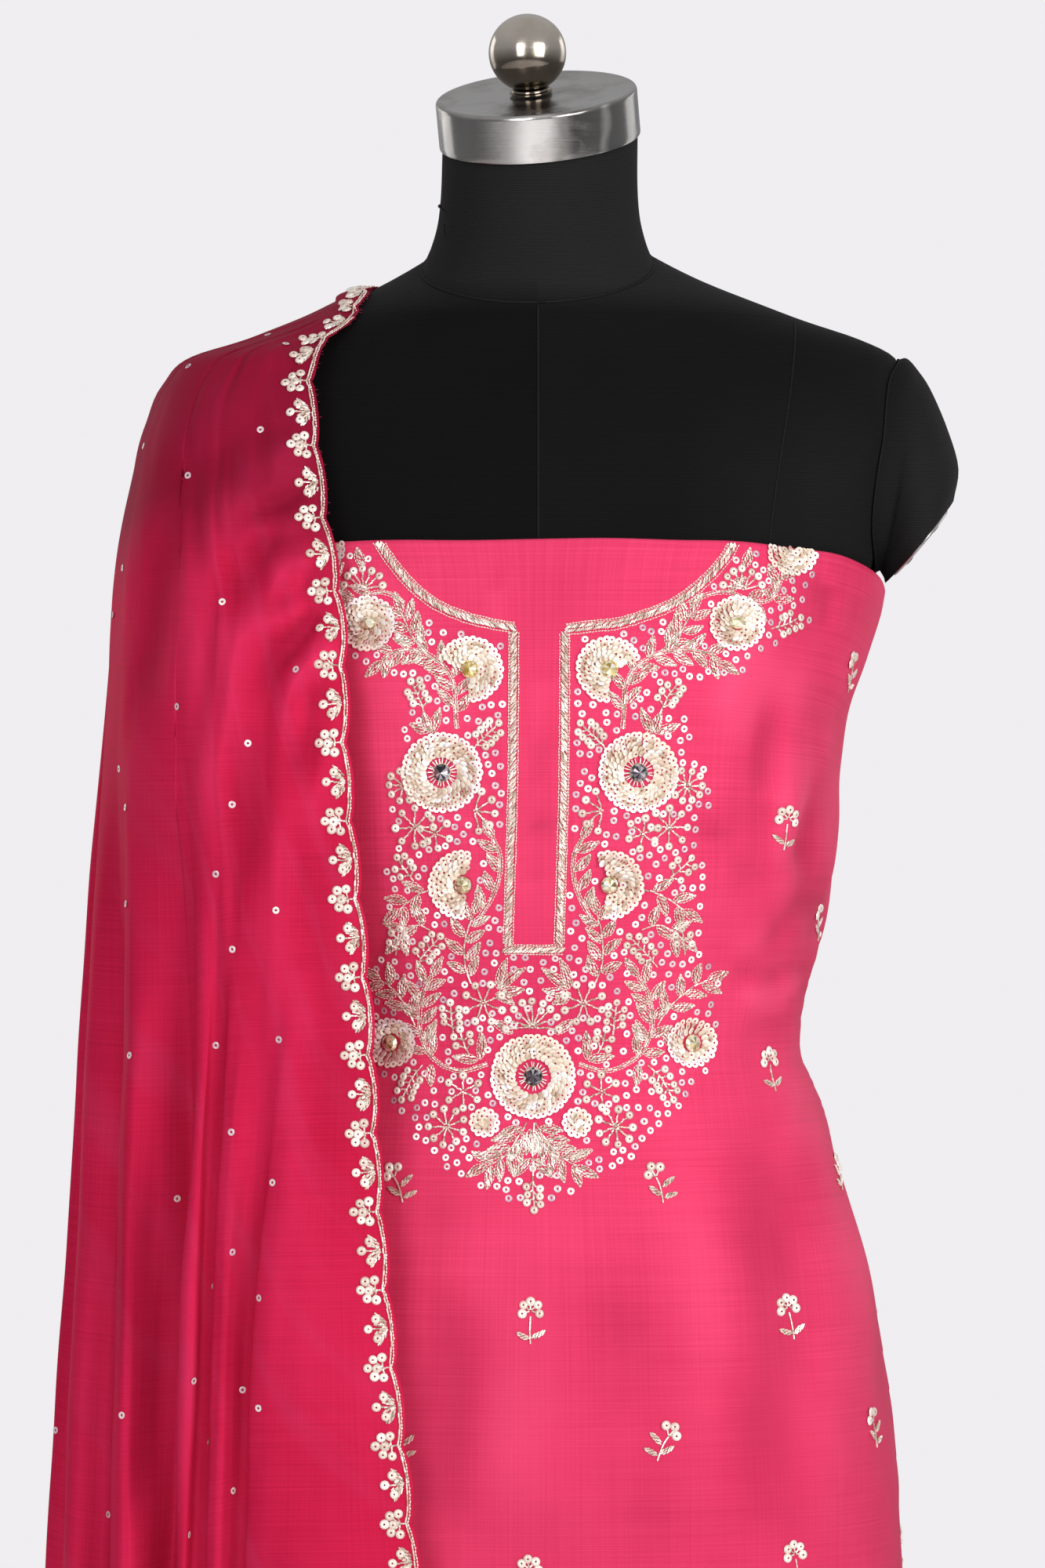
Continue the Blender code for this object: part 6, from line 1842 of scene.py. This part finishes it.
def build_kameez_work(surface, mats):
    lo, hi = 75, 226
    grid = surface.grid
    middle = (COLS - 1) // 2

    def place(xy):
        px, py = xy[:, 0] / MM + 683, 1290 - xy[:, 1] / MM
        r, c = surface.find(px, py, lo, hi)
        return surface.at(r, c)

    edge = grid[-1, lo:hi]
    k = 1 + edge[:, 1] / 3.2
    ex = 666.5 + (edge[:, 0] - CAM[0]) / (PITCH * k)
    ey = 1000 - (edge[:, 2] - CAM[2]) / (PITCH * k)
    lay(yoke_plan(lambda x: float(np.interp(x, ex, ey))), place, "kameez_yoke", mats)

    # sprigs on a half-drop lattice over the rest of the cloth
    whole = {"x": [], "y": []}
    all_parts = Plan()
    bags = []
    for i in range(-7, 8):
        for j in range(-8, 6):
            s = i * 0.0668 - 0.004
            z = (0.8885 if i % 2 == 0 else 0.9580) + j * 0.1295
            if abs(i) == 2:
                s, z = s + math.copysign(0.005, i), 0.8877 + j * 0.1245
            if not (KAMEEZ_HEM + 0.02 < z < 1.262) or abs(s) > 0.545:
                continue
            if abs(s) < 0.115 and z > 0.962:
                continue
            if 0.02 < s < 0.15 and z > 1.16 or abs(s) < 0.155 and z > 1.20:
                continue
            one = Plan()
            buti(one, i % 2 == 1, (i + j) % 3 == 0)
            lean = 0.16 * math.sin(3.7 * i + 5.3 * j)
            for rows in (one.beads, one.domes, one.stitches):
                for k, row in enumerate(rows):
                    row = list(row)
                    row[0], row[1] = turned(row[0], row[1], lean)
                    if rows is not one.domes:
                        row[2], row[3] = turned(row[2], row[3], lean)
                    rows[k] = row
            bags.append((s, z, one))
    step = np.linalg.norm(np.diff(grid, axis=1), axis=2)
    arc = np.concatenate([np.zeros((len(grid), 1)), np.cumsum(step, axis=1)], axis=1)
    arc = arc - arc[:, middle:middle + 1]
    for s, z, one in bags:
        level = int(np.argmin(np.abs(grid[:, middle, 2] - z)))
        c0 = float(np.interp(s, arc[level], np.arange(COLS)))
        r0 = float(np.interp(z, grid[:, int(c0), 2], np.arange(len(grid))))
        p = bilinear(grid, np.array([r0, r0, r0 + 1]), np.array([c0 - 0.5, c0 + 0.5, c0]))
        q = bilinear(grid, np.array([r0]), np.array([c0]))[0]
        dc, dr = np.linalg.norm(p[1] - p[0]) * 1000, np.linalg.norm(p[2] - q) * 1000
        for rows, out in ((one.beads, all_parts.beads), (one.domes, all_parts.domes), (one.stitches, all_parts.stitches)):
            for row in rows:
                row = list(row)
                row[0], row[1] = c0 + row[0] / dc, r0 + row[1] / dr
                if out is not all_parts.domes:
                    length = math.hypot((row[2]), (row[3]))
                    row[2], row[3] = c0 + row[2] / dc, r0 + row[3] / dr
                out.append(row)

    scale = 3.9

    def place_cloth(cr):
        return surface.at(cr[:, 1], cr[:, 0])

    lay_cloth(all_parts, place_cloth, "kameez_sprigs", mats)


def lay_cloth(plan, place, name, mats):
    """Like lay, for plans already in grid columns and rows."""
    mm = 0.001
    for rows, template, tag, mat, sharp in ((plan.beads, BEAD, "_beads", "bead", 50), (plan.stitches, STITCH, "_thread", "thread", None)):
        if not rows:
            continue
        r = np.array(rows, float)
        a, na = place(r[:, 0:2])
        b, nb = place(r[:, 2:4])
        x, n = unit(b - a), unit(na + nb)
        y = unit(np.cross(n, x))
        n = np.cross(x, y)
        length, width = np.linalg.norm(b - a, axis=1), r[:, 4] * mm
        batch = Batch()
        batch.put(template, (a + b) / 2 + n * (r[:, 5] * mm)[:, None], x * length[:, None], y * width[:, None], n * width[:, None], r[:, 6])
        batch.make(name + tag, mats[mat], sharp=sharp)
    for rows, template, tag, mat in ((plan.domes, DOME, "_cup_sequins", "dome"), (plan.rings, RING, "_sequins", "ring"), (plan.petals, PETAL, "_flower_sequins", "petal")):
        if not rows:
            continue
        r = np.array(rows, float)
        p, n = place(r[:, 0:2])
        q, _ = place(r[:, 0:2] + [0.2, 0.0])
        x = unit(q - p)
        y = unit(np.cross(n, x))
        x = np.cross(y, n)
        m = unit(n + np.tan(r[:, 6])[:, None] * (x * r[:, 4:5] + y * r[:, 5:6]))
        x = unit(x - m * (x * m).sum(axis=1, keepdims=True))
        y = np.cross(m, x)
        s = r[:, 2:3] * mm
        batch = Batch()
        batch.put(template, p + n * (r[:, 3] * mm)[:, None], x * s, y * s, m * s, r[:, 7])
        batch.make(name + tag, mats[mat])


def build_dupatta_work(surface, mats):
    """Scalloped beaded border along both long edges, and scattered sequins."""
    grid = surface.grid
    rows, cols = grid.shape[:2]
    for name, first, step in (("dupatta_border_front", cols - 1, -1), ("dupatta_border_back", 0, 1)):
        edge = grid[:, first]
        run = np.concatenate([[0], np.cumsum(np.linalg.norm(np.diff(edge, axis=0), axis=1))]) * 1000
        total = run[-1]
        strip = grid[:, first::step][:, :70]
        outward_way = unit(strip[:, 0] - strip[:, 3])
        dist = np.concatenate([np.zeros((rows, 1)), np.cumsum(np.linalg.norm(np.diff(strip, axis=1), axis=2), axis=1)], axis=1) * 1000

        def place(xy):
            """x: millimetres in from the edge; y: millimetres down from the shoulder."""
            r = np.interp(total - xy[:, 1], run, np.arange(rows))
            i = np.clip(np.round(r).astype(int), 0, rows - 1)
            c = np.array([np.interp(x, dist[k], np.arange(70)) for x, k in zip(xy[:, 0], i)])
            p, n = surface.at(r, first + step * c)
            way = np.stack([np.interp(r, np.arange(rows), outward_way[:, k]) for k in range(3)], axis=1)
            return p + way * (np.maximum(-xy[:, 0], 0.0) * 0.001)[:, None], n

        plan = Plan()
        # cord and beads follow the scallops, about two millimetres inside the cut edge
        y = np.linspace(1.0, total - 2.0, 2400)
        bow = edge_bow(y, total)
        plan.chain(np.stack([1.55 - bow, y], 1), 1.7, 0.95, 0.40)
        plan.bead_line(np.stack([2.65 - bow, y], 1), 2.6, 0.2, 1.05, 0.55)
        k = 0
        y = 29.2 - 19.6
        while y < total - 6:
            if k % 2 == 1:       # cusp: five domes on rays
                base = np.array([5.4, y])
                for a, ln in ((-88, 5.0), (-42, 6.3), (0, 7.8), (42, 6.3), (88, 5.0), (6, 3.4)):
                    d = np.array([math.cos(math.radians(a)), math.sin(math.radians(a))])
                    ln = ln + 0.5 * (rng.random() - 0.5)
                    if ln > 3:
                        plan.bead_line([base + d * 0.4, base + d * (ln - 1.6)], 1.2, 0.15, 0.95)
                    plan.dome(base + d * ln, 4.9)
                plan.bead_line([np.array([2.6, y]), base + [0.2, 0]], 1.3, 0.15, 1.0)
            else:                # between: three domes and two leaves
                base = np.array([0.9, y])
                for a, ln in ((-40, 7.6), (0, 9.9), (40, 7.6)):
                    d = np.array([math.cos(math.radians(a)), math.sin(math.radians(a))])
                    ln = ln + 0.5 * (rng.random() - 0.5)
                    plan.bead_line([base + d * 0.4, base + d * (ln - 1.8)], 2.0, 0.15, 0.95)
                    plan.dome(base + d * ln, 4.8)
                for s in (-1, 1):
                    plan.leaf(base + [0.4, 1.2 * s], base + [6.6, 8.8 * s], 3.6, False, 3)
                    plan.leaf(base + [0.6, 0.5 * s], base + [7.4, 3.0 * s], 2.6, False, 2)
            y += 19.6
            k += 1
        # a few loose threads at the cut edge
        for _ in range(260):
            yy = 4 + rng.random() * (total - 8)
            ln = 0.8 + 1.3 * rng.random()
            plan.stitches.append((0.3, yy, 0.3 - ln, yy + (rng.random() - 0.5) * 1.8, 0.14, 0.05, 0.0))
        frays = [s for s in plan.stitches if s[4] < 0.2]
        plan.stitches = [s for s in plan.stitches if s[4] >= 0.2]
        lay(plan, place, name, mats)

        # frays stick out past the edge, so they use the edge's own direction
        r = np.array([np.interp(total - s[1], run, np.arange(rows)) for s in frays])
        p, n = surface.at(r, np.full(len(r), float(first)))
        q, _ = surface.at(r, np.full(len(r), float(first + 3 * step)))
        out = unit(p - q)
        p = p + out * ((0.1 + edge_bow(np.array([s[1] for s in frays]), total)) * 0.001)[:, None]
        down = unit(np.cross(n, out))
        ln = np.array([0.3 - s[2] for s in frays]) * 0.001
        slant = np.array([s[3] - s[1] for s in frays])
        x = unit(out + down * (slant * 0.6)[:, None] + n * 0.15)
        y3 = unit(np.cross(n, x))
        batch = Batch()
        batch.put(STITCH, p + x * (ln / 2)[:, None], x * ln[:, None], y3 * 0.00013, np.cross(x, y3) * 0.00013, rng.random(len(r)))
        batch.make(name + "_frays", mats["fray"])

    # scattered sequins over the whole cloth, half-drop and a little uneven
    plan = Plan()
    middle = rows - 6
    run = np.cumsum(np.linalg.norm(np.diff(grid[:, cols // 2], axis=0), axis=1))
    row_len = np.linalg.norm(np.diff(grid, axis=1), axis=2).sum(axis=1)
    k = 0
    z = 0.0
    total = run[-1]
    dist = 0.030
    while dist < total - 0.02:
        r = float(np.interp(total - dist, np.concatenate([[0], run]), np.arange(rows)))
        length = float(np.interp(r, np.arange(rows), row_len))
        n = max(int(length / 0.105), 2)
        for m in range(n):
            c = (m + 0.5 * (k % 2) + 0.30 + 0.24 * (rng.random() - 0.5)) / n * (cols - 1)
            rr = r + 5.0 * (rng.random() - 0.5)
            if 14 < c < cols - 15 and 2 < rr < rows - 8:
                a = rng.random() * 6.28
                plan.rings.append((c, rr, 3.7, 0.35, math.cos(a), math.sin(a), 0.15 * rng.random(), 0.10 + 0.62 * rng.random()))
        dist += 0.034
        k += 1
    lay_cloth(plan, lambda cr: surface.at(cr[:, 1], cr[:, 0]), "dupatta", mats)


def build_pins(mats, dupatta):
    """Dressmaker's pins: two in the neck's side, one by the shoulder."""
    def pin(name, tip, head, r=0.00035, ball=0.0011, mat="pin"):
        tip, head = np.array(tip, float), np.array(head, float)
        d = unit((head - tip)[None])[0]
        prof = [(0.0, 0.00005), (0.003, r)] + [(np.linalg.norm(head - tip) - 0.001, r)]
        rings = [circle(tip + d * h, d, rr, 10) for h, rr in prof]
        for k in range(9):
            a = math.radians(-70 + 160 * k / 8)
            rings.append(circle(head + d * ball * (math.sin(a) + 0.6), d, ball * math.cos(a), 14))
        obj = loft(name, rings, mats[mat], sharp=60)
        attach(obj, "root")
    k = 1 + 0.0 / 3.2
    def at(px, py, y):
        k = 1 + y / 3.2
        return (CAM[0] + (px - 666.5) * PITCH * k, y, CAM[2] + (1000 - py) * PITCH * k)
    pin("neck_pin_upper", at(570, 272, -0.030), at(562, 264, -0.034))
    pin("neck_pin_lower", at(568, 304, -0.026), at(566, 286, -0.034), ball=0.0008)
    pin("shoulder_pin", at(450, 380, 0.012), at(461, 374, 0.004), ball=0.0012)


# ------------------------------------------------------------------- setting
def build_stage():
    mat, nt, bsdf, out = nodes_of("stage_pale")
    g = noise(nt, coords(nt), 3.0, 4.0, 0.5)
    nt.links.new(mix_colour(nt, g, (0.78, 0.775, 0.785), (0.83, 0.825, 0.835)), bsdf.inputs["Base Color"])
    bsdf.inputs["Roughness"].default_value = 0.9
    a = np.linspace(0, 2 * np.pi, 96, endpoint=False)
    rings = [np.zeros((1, 3))]
    verts = [[0, 0, -0.0005]]
    for r in (0.5, 1.5, 3.0):
        verts += [[r * math.cos(t), r * math.sin(t), -0.0005] for t in a]
    quads = np.vstack([grid_faces(3, 96, start=1, wrap=True)])
    tris = np.array([[0, 1 + (i + 1) % 96, 1 + i] for i in range(96)])
    floor = new_mesh("floor", verts, [quads, tris])
    floor.data.materials.append(mat)

    world = bpy.data.worlds.new("studio")
    bpy.context.scene.world = world
    world.use_nodes = True
    nt = world.node_tree
    bg = nt.nodes["Background"]
    out = nt.nodes["World Output"]
    bg.inputs["Color"].default_value = (0.93, 0.93, 0.95, 1)
    bg.inputs["Strength"].default_value = 0.40
    # darker towards the ground, as in a studio
    tc = nt.nodes.new("ShaderNodeTexCoord")
    sep = nt.nodes.new("ShaderNodeSeparateXYZ")
    nt.links.new(tc.outputs["Generated"], sep.inputs[0])
    nt.links.new(remap(nt, sep.outputs["Z"], -0.5, 0.7, 0.18, 0.56), bg.inputs["Strength"])
    seen = nt.nodes.new("ShaderNodeBackground")
    seen.inputs["Color"].default_value = (0.868, 0.852, 0.872, 1)
    seen.inputs["Strength"].default_value = 1.0
    path = nt.nodes.new("ShaderNodeLightPath")
    mix = nt.nodes.new("ShaderNodeMixShader")
    nt.links.new(path.outputs["Is Camera Ray"], mix.inputs[0])
    nt.links.new(bg.outputs[0], mix.inputs[1])
    nt.links.new(seen.outputs[0], mix.inputs[2])
    nt.links.new(mix.outputs[0], out.inputs["Surface"])

    Lamp = namedtuple("Lamp", "name x y z tx ty tz w h power")
    for l in (Lamp("key_right", 1.80, -2.45, 1.66, 0.0, 0.0, 1.24, 1.55, 2.0, 60),
              Lamp("key_left", -1.10, -2.95, 1.66, 0.0, 0.0, 1.24, 1.10, 2.0, 36),
              Lamp("fill_back_left", -2.2, 2.0, 1.7, 0.0, 0.0, 1.0, 1.2, 2.0, 9),
              Lamp("fill_back_right", 2.2, 2.0, 1.7, 0.0, 0.0, 1.0, 1.2, 2.0, 9)):
        data = bpy.data.lights.new(l.name, "AREA")
        data.shape = "RECTANGLE"
        data.size, data.size_y = l.w, l.h
        data.energy = l.power
        data.color = (1.0, 0.985, 0.97)
        obj = bpy.data.objects.new(l.name, data)
        obj.location = (l.x, l.y, l.z)
        from mathutils import Vector
        obj.rotation_euler = (Vector((l.tx, l.ty, l.tz)) - Vector((l.x, l.y, l.z))).to_track_quat("-Z", "Y").to_euler()
        obj.visible_camera = False
        bpy.context.scene.collection.objects.link(obj)
    scene = bpy.context.scene
    scene.view_settings.view_transform = "Standard"
    scene.view_settings.look = "None"
    scene.view_settings.exposure = 0.0


def main():
    # kameez and dupatta: painted shade in creases and painted highlight on ridges; kameez painted shade towards the
    # hem; dupatta painted shade over the form and painted sheen streaks
    kameez_mat = silk("silk_kameez", (0.57, 0.025, 0.088), (0.82, 0.063, 0.166), 0.52, sheen=0.03, spec=0.20, metal=0.10, painted_fold_shade=(0.30, 0.24),
                      over=(1.00, 0.78, (0.43, 0.016, 0.062), 0.34))
    dupatta_mat = silk("silk_dupatta", (0.52, 0.010, 0.052), (0.70, 0.022, 0.094), 0.46, see=0.04, glow=0.20, sheen=0.0, spec=0.07, metal=0.15,
                       over=(1.262, 1.305, (0.25, 0.008, 0.032), 0.72), painted_sheen_streaks=(38.0, (0.60, 0.06, 0.17), 0.22), painted_fold_shade=(0.52, 0.42))
    salwar_mat = silk("silk_salwar", (0.50, 0.018, 0.070), (0.64, 0.032, 0.108), 0.52, sheen=0.03, spec=0.18, metal=0.14)
    cover = form_cloth()
    seam, nt, b, _ = nodes_of("seam_black")
    n = noise(nt, coords(nt), 900.0)
    nt.links.new(mix_colour(nt, n, (0.002, 0.002, 0.002), (0.010, 0.010, 0.011)), b.inputs["Base Color"])
    b.inputs["Roughness"].default_value = 0.8
    b.inputs["Specular IOR Level"].default_value = 0.2
    # painted reflection strips round the cap's rim
    cap = steel("steel_brushed", (0.90, 0.875, 0.85), 0.17, brushed=0.30, wear=0.35,
                painted_reflection_bands=[(-0.0535, 0.66), (-0.0455, 0.36), (-0.036, 0.46), (-0.018, 0.52), (-0.002, 1.0), (0.004, 0.96), (0.0135, 0.34),
                       (0.0195, 0.20), (0.0225, 0.24), (0.031, 0.34), (0.0345, 0.85), (0.0385, 0.32), (0.0535, 0.30)])
    # painted dark reflection towards the bottom of the ball
    ball = steel("steel_polished", (0.64, 0.585, 0.51), 0.13, wear=0.34, stain=(0.26, 0.20, 0.15), foot=(1.5400, 1.5330, (0.12, 0.092, 0.066)))
    plate = steel("steel_plate", (0.60, 0.59, 0.57), 0.34, axis=1, brushed=0.3, wear=0.2)
    stand = steel("steel_stand", (0.58, 0.58, 0.585), 0.28, brushed=0.4, wear=0.2)
    mats = {
        "thread": tinted("thread_cream", [(0.0, (0.84, 0.60, 0.53)), (0.5, (0.93, 0.76, 0.68)), (1.0, (0.98, 0.89, 0.82))], 0.5, spec=0.5),
        # bead tones run from dark olive to near white; the near-white end stands partly for painted glints
        "bead": tinted("bead_champagne", [(0.0, (0.46, 0.35, 0.26)), (0.25, (0.68, 0.54, 0.44)), (0.58, (0.86, 0.73, 0.63)), (0.84, (0.95, 0.88, 0.81)), (1.0, (1.0, 0.99, 0.97))], 0.24, metal=0.34, coat=0.7),
        # flat sequin tones run from lilac to white; the whitest end stands partly for painted glints
        "ring": tinted("sequin_pearl", [(0.0, (0.56, 0.36, 0.44)), (0.4, (0.72, 0.56, 0.60)), (0.70, (0.84, 0.74, 0.74)), (0.85, (0.94, 0.91, 0.90)), (1.0, (0.99, 0.98, 0.97))], 0.20, metal=0.20, coat=0.6),
        # flower sequin tones: the darkest end stands partly for painted shade between lapped sequins, the whitest end
        # partly for painted glints
        "petal": tinted("sequin_cream", [(0.0, (0.58, 0.42, 0.30)), (0.22, (0.80, 0.65, 0.51)), (0.55, (0.92, 0.81, 0.69)), (0.80, (0.95, 0.92, 0.90)), (1.0, (0.99, 0.98, 0.98))], 0.24, metal=0.10, coat=0.7),
        "dome": tinted("sequin_cup", [(0.0, (0.66, 0.50, 0.43)), (0.5, (0.80, 0.68, 0.60)), (1.0, (0.92, 0.87, 0.81))], 0.22, metal=0.15, coat=0.7),
        # stone ramps run from dark to near white so that random facet tones act as painted facet glints
        "stone_yellow": tinted("stone_yellow", [(0.0, (0.22, 0.12, 0.01)), (0.4, (0.80, 0.55, 0.14)), (0.7, (0.97, 0.86, 0.50)), (1.0, (1.0, 0.99, 0.95))], 0.05, metal=0.55, coat=0.9),
        "stone_gold": tinted("stone_gold", [(0.0, (0.26, 0.18, 0.06)), (0.4, (0.70, 0.56, 0.30)), (0.7, (0.95, 0.88, 0.66)), (1.0, (1.0, 0.99, 0.95))], 0.06, metal=0.55, coat=0.9),
        "stone_pale": tinted("stone_pale", [(0.0, (0.48, 0.40, 0.18)), (0.5, (0.84, 0.77, 0.54)), (1.0, (1.0, 0.99, 0.92))], 0.08, metal=0.45, coat=0.9),
        "stone_dark": tinted("stone_dark", [(0.0, (0.012, 0.010, 0.014)), (0.5, (0.20, 0.16, 0.19)), (1.0, (0.80, 0.76, 0.80))], 0.06, metal=0.85, coat=0.8),
        "setting": tinted("setting_gold", [(0.0, (0.45, 0.33, 0.16)), (1.0, (0.80, 0.66, 0.42))], 0.22, metal=1.0),
        "pin": tinted("pin_steel", [(0.0, (0.03, 0.03, 0.035)), (1.0, (0.10, 0.10, 0.11))], 0.25, metal=0.9),
        "fray": tinted("fray_silk", [(0.0, (0.50, 0.02, 0.08)), (1.0, (0.70, 0.06, 0.16))], 0.6),
    }
    build_stage()
    kameez, surface = build_kameez(kameez_mat)
    salwar = build_salwar(salwar_mat)
    dupatta, top = build_dupatta(dupatta_mat)
    build_form(cover, seam, cap, ball, plate)
    build_stand(stand)
    build_kameez_work(surface, mats)
    build_dupatta_work(top, mats)
    build_pins(mats, top)


main()
